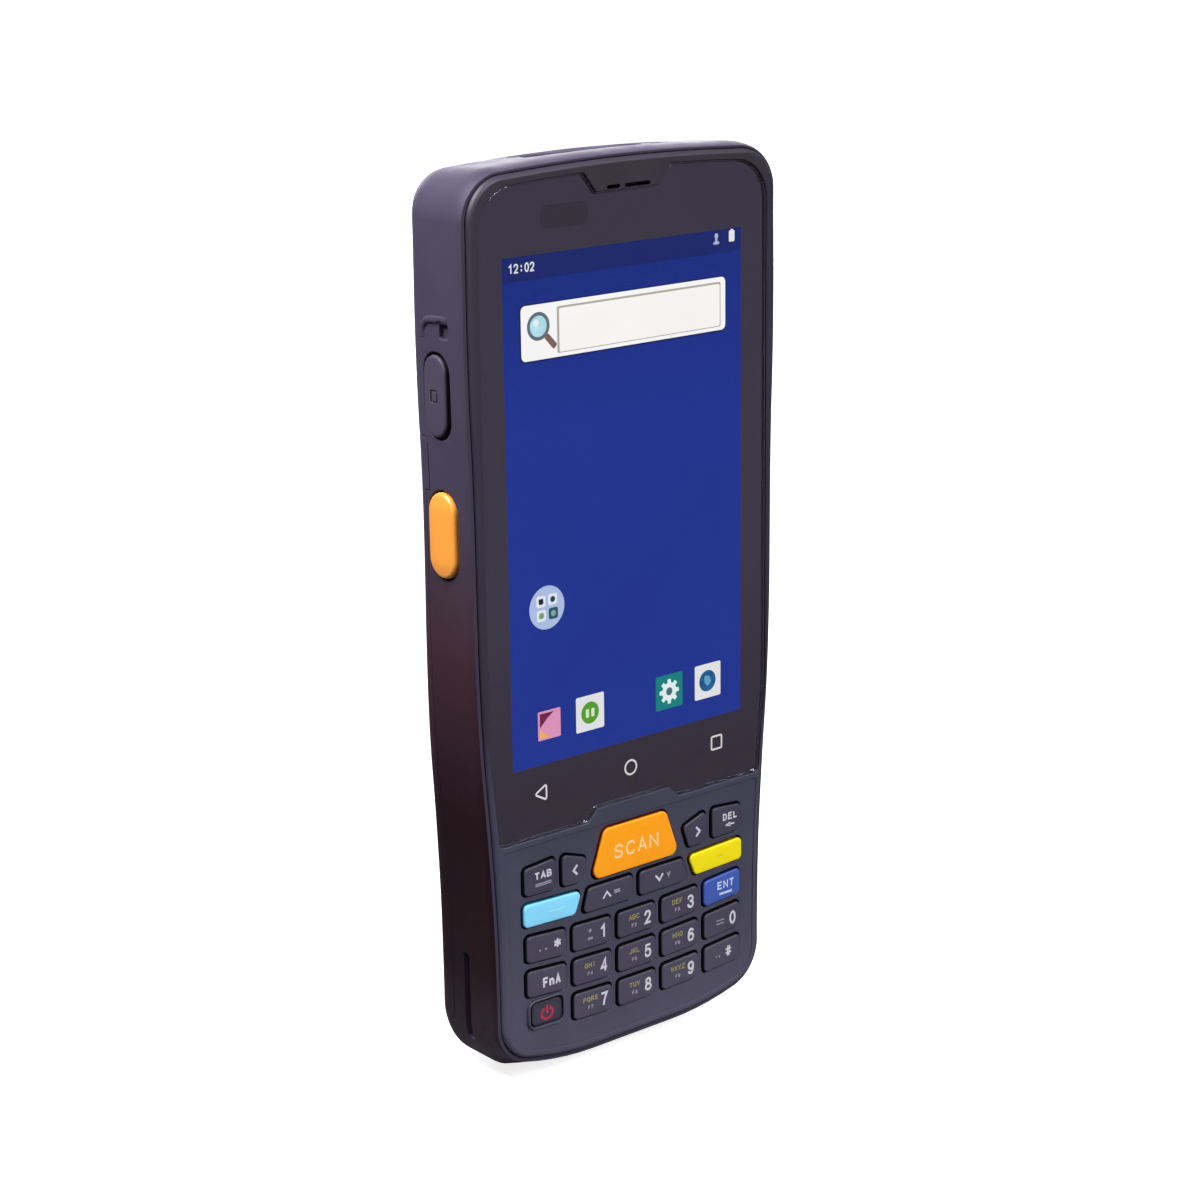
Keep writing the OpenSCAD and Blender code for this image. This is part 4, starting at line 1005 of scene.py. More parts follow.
# --------------------------------------------------------------- front cover
cover_rings = []
for a in np.radians(np.linspace(0, 90, 10)):
    cover_rings.append(at_y(inset_xz(IN_COVER + 0.8 * (1 - math.sin(a))), 1.0 * (1 - math.cos(a))))
cover_rings += [at_y(inset_xz(IN_COVER), 1.9)]
cover = loft("tool", cover_rings)
ring_line = round_poly(grow(Q_POWER, 0.7), 1.7, 8)
boolean(cover, [
    stack_y([(0.5, ring_line), (-0.15, ring_line), (-0.29, offset_line(ring_line, -0.05)), (-0.37, offset_line(ring_line, -0.14)), (-0.4, offset_line(ring_line, -0.26))]),
] + [bar_y(x, 148.6, 2.1, 1.6, 8.4) for x in (-26.2, 26.2)] + [bar_y(x, 10.9, 1.5, 1.6, 8.4) for x in (-26.9, 26.9)], "UNION")

LCD_Z, GLASS_B, GLASS_T = 98.6, 98.6 - 55.6, 98.6 + 55.5


def glass_half(z):
    return float(29.7 + 1.5 * ease((z - 42) / 20))


def glass_line(n=10):
    g, c, b, t = 31.2, 7.2, GLASS_B, GLASS_T
    notch = list(round_poly([(-9.4, t - 0.11), (-6.8, t - 3.5), (6.8, t - 3.5), (9.4, t - 0.11), (17, t - 0.37), (-17, t - 0.37)], [0.5, 0.6, 0.6, 0.5, 0, 0], 5))
    p = notch[:-2] + [(x, t - x * x / 780) for x in (12.0, 14.5, 17.0, 20.0)]
    p += [(g - c + c * math.cos(a), t - 0.8 - c + c * math.sin(a)) for a in np.radians(np.linspace(87, 0, n + 1))]
    p += [(glass_half(z), z) for z in range(72, 44, -2)]
    h = glass_half(44)
    p += [(h, b + 1.0), (h - 0.3, b + 0.3), (h - 1, b)]
    p += list(round_poly([(h - 1, b), (10.4, b), (8.3, b + 2.1), (-8.3, b + 2.1), (-10.4, b), (1 - h, b)], [0, 0.5, 0.5, 0.5, 0.5, 0], 5))[1:-1]
    p += [(1 - h, b), (0.3 - h, b + 0.3), (-h, b + 1.0)]
    p += [(-glass_half(z), z) for z in range(46, 74, 2)]
    p += [(-g + c + c * math.cos(a), t - 0.8 - c + c * math.sin(a)) for a in np.radians(np.linspace(180, 93, n + 1))]
    p += [(x, t - x * x / 780) for x in (-20.0, -17.0, -14.5, -12.0)]
    out = [np.array(p[0], float)]
    for q in p[1:]:
        if np.linalg.norm(np.array(q) - out[-1]) > 0.02:
            out.append(np.array(q, float))
    if np.linalg.norm(out[0] - out[-1]) < 0.02:
        out.pop()
    return np.array(out)


GLINE = glass_line()
deck = slab(inset_xz(IN_COVER + 1.35), -1, 0.15)
boolean(deck, [blk((-50, -3, 41.9), (50, 3, 200)), slab(ring_line, -2, 2)])
tools = [
    front_tool(offset_line(GLINE, 0.12), 1.45, 0.16),
    blk((-28.4, -1, 50.6), (28.4, 3, 146)),
    deck,
    front_tool(round_poly([(-4.5, 150.9), (-1.7, 150.9), (-1.7, 151.6), (-4.5, 151.6)], 0.3, 4), 3, 0.1),
    front_tool(round_poly([(-0.6, 150.9), (4.8, 150.9), (4.8, 151.6), (-0.6, 151.6)], 0.3, 4), 3, 0.1),
    blk((-15, 0.6, 147.1), (-11, 3, 149.4)),
]
tools += [bar_y(x, 148.6, 0.95, 1.75, 10, 32) for x in (-26.2, 26.2)] + [bar_y(x, 10.9, 0.95, 1.75, 10, 32) for x in (-26.9, 26.9)]
for k, (q, _, _) in KEYS.items():
    r = (1.5 if k == "scan" else 1.0) + 0.15
    face = -0.4 if k == "power" else 0.15
    steps = [(face + dpt, key_line(q, 0.3 + o, r + o, 6)) for o, dpt in fillet_steps(0.14, 0.08)]
    tools.append(stack_y(steps + [(3.0, key_line(q, 0.3, r, 6))]))
boolean(cover, tools)
place(cover, "cover_plate", "root", M["cover"], "cover_plastic", ["front_cover"], 30)

# --------------------------------------------------------------- glass and what shows through it
glass = loft("tool", [at_y(offset_line(GLINE, -0.14), 0.22), at_y(offset_line(GLINE, -0.06), 0.25), at_y(offset_line(GLINE, -0.015), 0.31), at_y(GLINE, 0.40), at_y(GLINE, 1.385)])
place(glass, "glass_plate", "root", M["glass"], "glass", ["touch_glass"], 50)

GLASS_Y = 1.36


def plate(name, poly, mat, level=1, slot="display", y_face=GLASS_Y, thick=0.012):
    """A printed or lit patch inside the foot of the glass, a hundredth of a millimetre above what it lies on."""
    y = y_face - 0.012 * level
    ob = loft("tool", [at_y(poly, y), at_y(poly, y + thick)])
    return place(ob, name, "root", mat, slot, sharp=20, weighted=False)


def rect(x0, z0, x1, z1, r=0.0, n=5):
    p = [(x0, z0), (x1, z0), (x1, z1), (x0, z1)]
    return round_poly(p, r, n) if r else np.array(p, float)


def join(name, objs):
    """Several placed pieces of one material made one."""
    bm = bmesh.new()
    for o in objs:
        bm.from_mesh(o.data)
    me = bpy.data.meshes.new(name)
    bm.to_mesh(me)
    bm.free()
    mat, slot = objs[0].data.materials[0], objs[0].get("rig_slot")
    body = objs[0]["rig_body"]
    for o in objs:
        d = o.data
        bpy.data.objects.remove(o)
        bpy.data.meshes.remove(d)
    me.materials.append(mat)
    ob = bpy.data.objects.new(name, me)
    scene.collection.objects.link(ob)
    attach(ob, body)
    if slot:
        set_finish(ob, slot)
    return ob


def lcd(z):
    return LCD_Z + z


BLUE = lit("screen_blue", rgb(33, 57, 160), 0.80, 0.05, 18, (0.115, 0.148, 0.72))
plate("print_with_painted_light", offset_line(GLINE, -0.3), M["mask"], 0, "glass", thick=0.018)
plate("screen_picture", rect(-25.92, lcd(-43.2), 25.92, lcd(43.2)), BLUE, 1)
plate("screen_bar_top", rect(-25.92, lcd(39.2), 25.92, lcd(43.2)), lit("screen_bar_blue", rgb(30, 46, 124), 0.72, 0.04), 2)
WHITE = lit("screen_white", rgb(240, 241, 244), 0.9, 0.03)
plate("search_edge", rect(-22.6, lcd(25.7), 22.5, lcd(35.3), 0.9), lit("search_shadow", rgb(22, 34, 92), 1.0), 2)
plate("search_frame", rect(-22.3, lcd(26.0), 22.3, lcd(35.1), 0.9), lit("search_cream", rgb(244, 243, 243), 1.08, 0.03), 3)
plate("search_inset_edge", rect(-14.8, lcd(26.6), 21.2, lcd(34.3), 0.35), lit("search_line", rgb(176, 172, 160), 1.0), 4)
plate("search_inset", rect(-14.35, lcd(26.75), 21.0, lcd(33.95), 0.3), lit("search_field", rgb(243, 242, 239), 1.08, 0.04), 5)
plate("glass_ring_rim", circle(2.35, 40, -18.7, lcd(31.5)), lit("rim_grey", rgb(98, 112, 120), 1.0), 4)
plate("glass_ring_lens", circle(1.75, 40, -18.7, lcd(31.5)), lit("lens_sky", rgb(178, 224, 236), 1.0, 0.12, 500), 5)
plate("glass_ring_shine", circle(0.6, 24, -19.2, lcd(32.1)), lit("lens_shine", rgb(232, 246, 250), 1.0), 6)
c, s = math.cos(radians(-47)), math.sin(radians(-47))
handle = [(c * x - s * z - 17.15, s * x + c * z + lcd(29.85)) for x, z in rect(0, -0.55, 2.9, 0.55, 0.3)]
plate("glass_ring_handle", handle, lit("handle_brown", rgb(128, 98, 96), 1.0), 5)


plate("status_battery", rect(23.15, lcd(40.9), 24.45, lcd(42.8), 0.2), WHITE, 3)
plate("status_battery_cap", rect(23.5, lcd(42.7), 24.1, lcd(43.0), 0.05), WHITE, 4)
SOFT = lit("screen_soft_white", rgb(196, 200, 226), 0.8, 0.03)
plate("status_signal_a", rect(19.6, lcd(40.75), 20.9, lcd(41.2), 0.1), SOFT, 3)
plate("status_signal_b", rect(20.0, lcd(41.1), 20.5, lcd(42.0), 0.1), SOFT, 4)
plate("status_signal_c", circle(0.42, 20, 20.25, lcd(42.2)), SOFT, 5)

# a round folder of four small marks
fx, fz = -18.0, lcd(-15.9)
plate("folder_disc", circle(3.75, 56, fx, fz), lit("folder_pale", rgb(172, 190, 226), 1.0, 0.03), 2)
for n, (dx, dz, colour) in enumerate([(-1.25, 1.2, (28, 40, 72)), (1.25, 1.25, (44, 58, 92)), (-1.2, -1.25, (118, 160, 96)), (1.35, -1.2, (30, 84, 92))]):
    plate("folder_tile_%d" % n, rect(fx + dx - 0.98, fz + dz - 0.98, fx + dx + 0.98, fz + dz + 0.98, 0.4), lit("folder_tile_colour_%d" % n, rgb(226, 232, 240) if n != 3 else rgb(44, 84, 104), 1.0), 3)
    mark = circle(0.52, 24, fx + dx, fz + dz) if n % 2 else rect(fx + dx - 0.5, fz + dz - 0.5, fx + dx + 0.5, fz + dz + 0.5, 0.25)
    plate("folder_mark_%d" % n, mark, lit("folder_mark_colour_%d" % n, rgb(*colour) if n != 3 else rgb(126, 170, 150), 1.0), 4)

# four plain dock tiles
dz0 = lcd(-36.3)
plate("dock_picture", rect(-20.4, dz0 - 2.6, -15.5, dz0 + 2.5, 0.2), lit("dock_pink", rgb(222, 150, 190), 1.0, 0.05), 2)
plate("dock_picture_dark", [(-20.0, dz0 + 2.1), (-20.0, dz0 - 0.4), (-18.4, dz0 + 1.1), (-16.9, dz0 + 2.1)], lit("dock_plum", rgb(112, 36, 74), 1.0), 3)
plate("dock_picture_sun", [(-20.0, dz0 - 2.2), (-18.0, dz0 - 2.2), (-20.0, dz0 - 0.6)], lit("dock_amber", rgb(240, 178, 84), 1.0), 3)
plate("dock_green_tile", rect(-12.1, dz0 - 3.1, -5.9, dz0 + 3.2, 0.3), WHITE, 2)
plate("dock_green_disc", circle(1.95, 44, -9.0, dz0 + 0.05), lit("dock_green", rgb(86, 158, 44), 1.0, 0.04), 3)
plate("dock_green_bar_a", rect(-9.95, dz0 - 0.75, -9.25, dz0 + 0.75, 0.15), lit("dock_pale", rgb(214, 236, 200), 1.0), 4)
plate("dock_green_bar_b", rect(-8.75, dz0 - 0.75, -8.05, dz0 + 0.75, 0.15), lit("dock_pale_b", rgb(214, 236, 200), 1.0), 4)
plate("dock_gear_tile", rect(5.9, dz0 - 3.1, 12.1, dz0 + 3.1, 0.3), lit("dock_teal", rgb(20, 128, 124), 1.0, 0.04), 2)
gear = []
for k in range(8):
    for da, rad in ((-14, 1.65), (-9, 2.25), (9, 2.25), (14, 1.65)):
        a = radians(45 * k + da)
        gear.append((9.0 + rad * math.sin(a), dz0 + rad * math.cos(a)))
plate("dock_gear", gear, lit("dock_gear_pale", rgb(226, 240, 240), 1.0), 3)
plate("dock_gear_hub", circle(0.72, 28, 9.0, dz0), lit("dock_gear_hub_grey", rgb(70, 110, 116), 1.0), 4)
plate("dock_globe_tile", rect(15.0, dz0 - 3.1, 21.1, dz0 + 3.2, 0.3), WHITE, 2)
plate("dock_globe", circle(1.95, 44, 18.0, dz0 + 0.05), lit("dock_globe_blue", rgb(36, 96, 150), 1.0, 0.25, 700), 3)
plate("dock_globe_land", round_poly([(17.2, dz0 + 1.2), (18.4, dz0 + 0.9), (18.9, dz0 - 0.2), (18.0, dz0 - 1.0), (17.3, dz0 - 0.2)], 0.35, 4), lit("dock_globe_land_c", rgb(92, 160, 196), 1.0, 0.1), 4)

# sensor window and the three touch marks on the glass border
plate("sensor_patch", round_poly(rect(-18.0, lcd(47.0), -8.0, lcd(50.9)), 1.5, 7), M["sensor"], 1, "glass")


def outline_mark(name, poly, wdt, mat):
    outer, inner = offset_line(poly, wdt / 2), offset_line(poly, -wdt / 2)
    n, y0, y1 = len(outer), GLASS_Y - 0.012, GLASS_Y - 0.001
    v = np.vstack([at_y(outer, y0), at_y(inner, y0), at_y(inner, y1), at_y(outer, y1)])
    f = [(k * n + i, k * n + (i + 1) % n, ((k + 1) % 4) * n + (i + 1) % n, ((k + 1) % 4) * n + i) for k in range(4) for i in range(n)]
    return place(new_object("tool", v, f), name, "root", mat, "glass", sharp=30, weighted=False)


zn = lcd(-48.2)
outline_mark("nav_back", round_poly([(-21.35, zn), (-18.85, zn + 1.4), (-18.85, zn - 1.4)], 0.25, 3), 0.34, M["nav"])
outline_mark("nav_home", circle(1.28, 40, 0.0, zn), 0.34, M["nav"])
outline_mark("nav_recent", rect(18.95, zn - 1.2, 21.35, zn + 1.2, 0.25, 3), 0.34, M["nav"])

# --------------------------------------------------------------- legends on the keys
def oval(cx, cy, rx, ry, n=22):
    a = np.linspace(0, 2 * math.pi, n + 1)
    return [(cx + rx * math.sin(t), cy + ry * math.cos(t)) for t in a]


SIX = [(0.93, 0.83), (0.8, 0.95), (0.55, 1), (0.3, 0.93), (0.1, 0.7), (0.03, 0.42), (0.07, 0.18), (0.24, 0.03), (0.5, 0), (0.78, 0.05), (0.96, 0.2), (0.96, 0.40), (0.78, 0.57), (0.5, 0.62), (0.25, 0.55), (0.08, 0.38)]
BOWL = [(0, 0), (0, 1), (0.65, 1), (0.95, 0.88), (0.95, 0.6), (0.65, 0.47), (0, 0.47)]
CEE = [(1, 0.8), (0.8, 0.97), (0.5, 1), (0.2, 0.93), (0.02, 0.7), (0, 0.5), (0.02, 0.3), (0.2, 0.07), (0.5, 0), (0.8, 0.03), (1, 0.2)]
STROKES = {
    "0": [oval(0.5, 0.5, 0.48, 0.5)], "1": [[(0.12, 0.74), (0.6, 1), (0.6, 0)]],
    "2": [[(0.03, 0.72), (0.08, 0.88), (0.25, 0.98), (0.5, 1), (0.77, 0.97), (0.95, 0.84), (0.95, 0.66), (0.8, 0.47), (0.45, 0.25), (0.08, 0), (1, 0)]],
    "3": [[(0.03, 0.78), (0.13, 0.93), (0.32, 1), (0.55, 1), (0.78, 0.95), (0.93, 0.8), (0.88, 0.63), (0.7, 0.53), (0.4, 0.52)], [(0.62, 0.52), (0.86, 0.45), (0.98, 0.28), (0.9, 0.1), (0.7, 0.01), (0.45, 0), (0.2, 0.04), (0.06, 0.13), (0, 0.26)]],
    "4": [[(0.76, 0), (0.76, 1), (0, 0.28), (1, 0.28)]],
    "5": [[(0.92, 1), (0.17, 1), (0.08, 0.52), (0.28, 0.62), (0.52, 0.65), (0.78, 0.58), (0.96, 0.4), (0.95, 0.2), (0.78, 0.04), (0.5, 0), (0.25, 0.02), (0.08, 0.12), (0.02, 0.24)]],
    "6": [SIX], "7": [[(0, 1), (1, 1), (0.72, 0.7), (0.47, 0.35), (0.36, 0)]],
    "8": [oval(0.5, 0.765, 0.40, 0.235), oval(0.5, 0.265, 0.49, 0.265)], "9": [[(1 - a, 1 - b) for a, b in SIX]],
    "A": [[(0, 0), (0.5, 1), (1, 0)], [(0.2, 0.33), (0.8, 0.33)]],
    "B": [[(0.6, 0.53), (0, 0.53), (0, 1), (0.6, 1), (0.86, 0.88), (0.86, 0.65), (0.6, 0.53), (0.95, 0.4), (0.95, 0.13), (0.65, 0), (0, 0), (0, 0.53)]],
    "C": [CEE], "D": [[(0, 0), (0, 1), (0.5, 1), (0.85, 0.85), (1, 0.5), (0.85, 0.15), (0.5, 0), (0, 0)]],
    "E": [[(1, 1), (0, 1), (0, 0), (1, 0)], [(0, 0.52), (0.85, 0.52)]], "F": [[(1, 1), (0, 1), (0, 0)], [(0, 0.52), (0.8, 0.52)]],
    "G": [CEE + [(1, 0.48), (0.6, 0.48)]], "H": [[(0, 0), (0, 1)], [(1, 0), (1, 1)], [(0, 0.52), (1, 0.52)]], "I": [[(0.5, 0), (0.5, 1)]],
    "J": [[(0.9, 1), (0.9, 0.25), (0.7, 0.02), (0.35, 0), (0.1, 0.12), (0.05, 0.3)]], "K": [[(0, 0), (0, 1)], [(1, 1), (0.05, 0.42)], [(0.35, 0.6), (1, 0)]],
    "L": [[(0, 1), (0, 0), (0.95, 0)]], "M": [[(0, 0), (0, 1), (0.5, 0.3), (1, 1), (1, 0)]], "N": [[(0, 0), (0, 1), (1, 0), (1, 1)]],
    "O": [oval(0.5, 0.5, 0.5, 0.5)], "P": [BOWL], "Q": [oval(0.5, 0.5, 0.5, 0.5), [(0.6, 0.25), (1, -0.05)]], "R": [BOWL, [(0.5, 0.47), (1, 0)]],
    "S": [[(0.95, 0.8), (0.75, 0.97), (0.5, 1), (0.2, 0.95), (0.05, 0.78), (0.15, 0.6), (0.5, 0.5), (0.85, 0.4), (0.97, 0.22), (0.8, 0.04), (0.5, 0), (0.2, 0.03), (0.03, 0.2)]],
    "T": [[(0, 1), (1, 1)], [(0.5, 1), (0.5, 0)]], "U": [[(0, 1), (0, 0.3), (0.15, 0.06), (0.5, 0), (0.85, 0.06), (1, 0.3), (1, 1)]],
    "V": [[(0, 1), (0.5, 0), (1, 1)]], "W": [[(0, 1), (0.25, 0), (0.5, 0.8), (0.75, 0), (1, 1)]], "X": [[(0, 0), (1, 1)], [(0, 1), (1, 0)]],
    "Y": [[(0, 1), (0.5, 0.5), (1, 1)], [(0.5, 0.5), (0.5, 0)]], "Z": [[(0, 1), (1, 1), (0, 0), (1, 0)]],
    "n": [[(0, 0), (0, 0.7)], [(0, 0.45), (0.25, 0.66), (0.6, 0.7), (0.9, 0.56), (0.95, 0.35), (0.95, 0)]],
    ":": [[(0.5, 0.62), (0.5, 0.82)], [(0.5, 0.12), (0.5, 0.32)]], ".": [[(0.5, 0), (0.5, 0.2)]], ",": [[(0.6, 0.18), (0.4, -0.12)]],
    "+": [[(0, 0.5), (1, 0.5)], [(0.5, 0), (0.5, 1)]], "=": [[(0, 0.72), (1, 0.72)], [(0, 0.28), (1, 0.28)]], "-": [[(0, 0.5), (1, 0.5)]],
    "<": [[(1, 1), (0, 0.5), (1, 0)]], ">": [[(0, 1), (1, 0.5), (0, 0)]], "^": [[(0, 0), (0.5, 1), (1, 0)]], "v": [[(0, 1), (0.5, 0), (1, 1)]],
    "#": [[(0.3, 0), (0.42, 1)], [(0.62, 0), (0.74, 1)], [(0, 0.3), (1, 0.3)], [(0, 0.7), (1, 0.7)]],
    "*": [[(0.5, 0), (0.5, 1)], [(0.05, 0.24), (0.95, 0.76)], [(0.05, 0.76), (0.95, 0.24)]], " ": [],
}


def strokes(name, text, h, w, cx, cz, pen, mat, body, slot, surface, gap=0.28, lift=0.012, foot=0.03, end=0.25):
    """Plain stroked figures: each a flat ribbon that follows the surface under it. w is the width of one character."""
    out_v, out_f = [], []
    step = w * (1 + gap)
    x_start = cx - (step * (len(text) - 1) + w) / 2
    count = 0
    for c, ch in enumerate(text):
        for path in STROKES[ch]:
            path = np.array(path, float)
            closed = np.linalg.norm(path[0] - path[-1]) < 1e-6
            pts = np.column_stack([x_start + c * step + pen / 2 + path[:, 0] * (w - pen), cz - h / 2 + pen / 2 + path[:, 1] * (h - pen)])
            if not closed:
                # the ends reach a little past their points
                a, b = unit(pts[0] - pts[1]), unit(pts[-1] - pts[-2])
                pts[0] += a * pen * end
                pts[-1] += b * pen * end
            n = len(pts)
            left, right = [], []
            for k in range(n):
                if closed:
                    a, b = pts[(k - 1) % (n - 1)], pts[(k + 1) % (n - 1)]
                    d1, d2 = unit(pts[k] - a), unit(b - pts[k])
                else:
                    d1 = unit(pts[k] - pts[max(0, k - 1)]) if k else unit(pts[1] - pts[0])
                    d2 = unit(pts[min(n - 1, k + 1)] - pts[k]) if k < n - 1 else d1
                n1, n2 = np.array([-d1[1], d1[0]]), np.array([-d2[1], d2[0]])
                m = n1 + n2
                m = m / max(1e-6, np.linalg.norm(m)) if np.linalg.norm(m) > 1e-6 else n1
                reach = pen / 2 / max(0.45, float(m @ n1))
                left.append(pts[k] + m * reach)
                right.append(pts[k] - m * reach)
            top = lift + 0.003 * (count % 4)
            base = len(out_v)
            for row, up in ((left, top), (right, top), (right, -foot), (left, -foot)):
                for q in row:
                    out_v.append((q[0], surface(q[0], q[1]) - up, q[1]))
            for k in range(4):
                for i in range(n - 1):
                    out_f.append((base + k * n + i, base + k * n + i + 1, base + ((k + 1) % 4) * n + i + 1, base + ((k + 1) % 4) * n + i))
            if not closed:
                out_f.append(tuple(base + k * n for k in range(4)))
                out_f.append(tuple(base + k * n + n - 1 for k in (3, 2, 1, 0)))
            else:
                for k in range(4):
                    out_f.append((base + k * n + n - 1, base + k * n, base + ((k + 1) % 4) * n, base + ((k + 1) % 4) * n + n - 1))
            count += 1
    return place(new_object("tool", out_v, out_f), name, body, mat, slot, sharp=30, weighted=False)


def legend(key, tag, text, h, w, dx, dz, pen, mat, **kw):
    mid = np.mean(np.array(KEYS[key][0]), axis=0)
    bvh = KEY_TOPS[key]

    def surface(x, z):
        hit = bvh.ray_cast(Vector((x, -5, z)), Vector((0, 1, 0)))[0]
        return hit.y if hit is not None else -0.4
    return strokes("legend_%s_%s" % (key, tag), text, h, w, mid[0] + dx, mid[1] + dz, pen, M[mat], "key_" + key, KEYS[key][2], surface, **kw)


strokes("clock_figures", "12:02", 1.55, 0.95, -21.95, lcd(41.35), 0.24, WHITE, "root", "display", lambda x, z: GLASS_Y - 0.03, gap=0.16, foot=0.006)
GROUPS = {"2": "ABC", "3": "DEF", "4": "GHI", "5": "JKL", "6": "MNO", "7": "PQRS", "8": "TUV", "9": "WXYZ"}
for k in "1234567890":
    legend(k, "figure", k, 2.55, 1.6, 2.45, 0.0, 0.42, "white")
for k, text in GROUPS.items():
    legend(k, "group", text, 0.95, 0.72, -0.7, 0.85, 0.17, "mustard", gap=0.2)
    legend(k, "small", "F" + k, 0.7, 0.5, -0.7, -0.7, 0.15, "pale", gap=0.3)
legend("1", "group", "+", 0.9, 0.8, -0.6, 0.85, 0.2, "grey")
legend("1", "small", "=", 0.8, 1.2, -0.6, -0.6, 0.2, "grey")
legend("0", "lines", "=", 1.7, 2.0, -0.6, -0.1, 0.22, "grey")
legend("scan", "word", "SCAN", 2.6, 2.15, 0.0, -0.35, 0.40, "pale_on_orange", gap=0.26)
legend("tab", "word", "TAB", 1.35, 1.1, 0.55, 0.65, 0.30, "white", gap=0.2)
legend("tab", "line", "=", 0.95, 3.6, 0.55, -1.0, 0.22, "pale")
legend("delete", "word", "DEL", 1.35, 1.0, 0.75, 0.65, 0.28, "white", gap=0.25)
legend("delete", "line", "<-", 0.9, 1.2, 0.75, -0.95, 0.30, "white", gap=-0.2)
legend("enter", "word", "ENT", 1.5, 1.15, 0.75, 0.55, 0.28, "pale_on_blue", gap=0.25)
legend("enter", "line", "=", 0.7, 3.2, 0.75, -1.1, 0.2, "pale_on_blue")
legend("fn", "word", "FnA", 1.9, 1.15, 0.9, -0.1, 0.40, "white", gap=0.2)
legend("left", "mark", "<", 2.0, 1.2, 0.3, 0.0, 0.42, "white")
legend("right", "mark", ">", 2.0, 1.2, 0.3, 0.0, 0.42, "white")
legend("up", "mark", "^", 1.35, 2.0, -0.7, 0.1, 0.34, "white")
legend("down", "mark", "v", 1.35, 2.0, -0.9, 0.1, 0.38, "white")
legend("up", "side", "=", 1.1, 1.5, 1.6, 0.2, 0.26, "pale")
legend("down", "side", "v", 0.9, 0.9, 1.3, 0.2, 0.28, "pale")
legend("star", "mark", "*", 1.75, 1.75, 2.3, 0.1, 0.42, "white")
legend("star", "dots", "..", 1.2, 0.7, -0.9, 0.0, 0.34, "pale", gap=0.9)
legend("hash", "mark", "#", 2.1, 1.5, 1.4, 0.2, 0.30, "white")
legend("hash", "dots", ".,", 1.2, 0.5, -1.2, 0.1, 0.26, "grey", gap=0.5)
legend("cyan", "bar", "-", 0.5, 3.8, 1.2, -0.1, 0.22, "pale_on_cyan")
legend("yellow", "bar", "-", 0.5, 1.6, 0.6, 0.1, 0.24, "pale_on_yellow")


def power_mark():
    mid = np.mean(np.array(Q_POWER), axis=0)
    bvh = KEY_TOPS["power"]

    def surface(x, z):
        hit = bvh.ray_cast(Vector((x, -5, z)), Vector((0, 1, 0)))[0]
        return hit.y if hit is not None else -0.3
    ang = np.radians(np.linspace(125, 415, 30))
    STROKES["power"] = [[(0.5 + 0.5 * math.cos(a), 0.42 + 0.42 * math.sin(a)) for a in ang], [(0.5, 0.45), (0.5, 0.75), (0.5, 1.0)]]
    strokes("legend_power_mark", ["power"], 2.9, 2.9, mid[0], mid[1], 0.44, M["red"], "key_power", "key_dark", surface)


power_mark()


# --------------------------------------------------------------- side controls
def side_button(name, s, y, z, w, l, x_out, x_in, rf, crown, body, mat, slot, node_name, sharp=40, waist=None):
    """A pill that stands out of the side: rounded rim and a crowned face."""
    rings = [at_x(pill(w, l) + np.array([y, z]), x_in), at_x(pill(w, l) + np.array([y, z]), x_out - rf - crown)]
    for a in np.radians(np.linspace(80, 0, 8)):
        p = offset_line(pill(w, l), -rf * (1 - math.sin(a))) + np.array([y, z])
        rings.append(at_x(p, x_out - crown - rf * (1 - math.cos(a))))
    last = rings[-1]
    for k in (0.88, 0.74, 0.58, 0.40, 0.2):
        p = last.copy()
        # the face narrows to the pill's own middle line, so the crown runs along it
        zc = np.clip(last[:, 2] - z, -(l - w) / 2, (l - w) / 2)
        p[:, 1] = y + (last[:, 1] - y) * k
        p[:, 2] = z + zc * (0.9 + 0.1 * k) + (last[:, 2] - z - zc) * k
        p[:, 0] = x_out - crown * k ** 2.5
        rings.append(p)
    v, f = loft_data(rings, (True, True))
    v[:, 0] *= s
    return new_object("tool", v, f)


def box_ring(x, y, z, hy, hz, r=0.3):
    return at_x(round_poly([(y - hy, z - hz), (y + hy, z - hz), (y + hy, z + hz), (y - hy, z + hz)], r, 4), x)


for s, name in ((-1, "left_trigger"), (1, "right_trigger")):
    b = side_button(name, s, TRIG_Y, TRIG_Z, TRIG_W, TRIG_L, 34.5, 30.4, 0.7, 0.28, name, None, None, name)
    fl = loft("tool", [box_ring(s * 30.4, TRIG_Y, TRIG_Z, 2.0, 8.05), box_ring(s * 31.0, TRIG_Y, TRIG_Z, 2.0, 8.05)])
    nub = loft("tool", [box_ring(s * 30.0, TRIG_Y, TRIG_Z, 1.2, 1.6), box_ring(s * 30.7, TRIG_Y, TRIG_Z, 1.2, 1.6)])
    boolean(b, [fl, nub], "UNION")
    place(b, name + "_cap", name, M["trigger"], "trigger_plastic", [name], 40)

rk = side_button("rocker", 1, PORT_Y, ROCK_Z, ROCK_W, ROCK_L, 34.97, 30.3, 0.6, 0.2, "volume_rocker", None, None, "volume_rocker")
waist = loft("tool", [at_x(np.array([(PORT_Y - 4, ROCK_Z - 1.1), (PORT_Y + 4, ROCK_Z - 1.1), (PORT_Y + 4, ROCK_Z + 1.1), (PORT_Y - 4, ROCK_Z + 1.1)]), 35.42),
                      at_x(np.array([(PORT_Y - 4, ROCK_Z - 0.5), (PORT_Y + 4, ROCK_Z - 0.5), (PORT_Y + 4, ROCK_Z + 0.5), (PORT_Y - 4, ROCK_Z + 0.5)]), 34.67)])
boolean(rk, [waist])
adds = [loft("tool", [box_ring(30.3, PORT_Y, ROCK_Z, 1.6, 10.9), box_ring(30.7, PORT_Y, ROCK_Z, 1.6, 10.9)])]
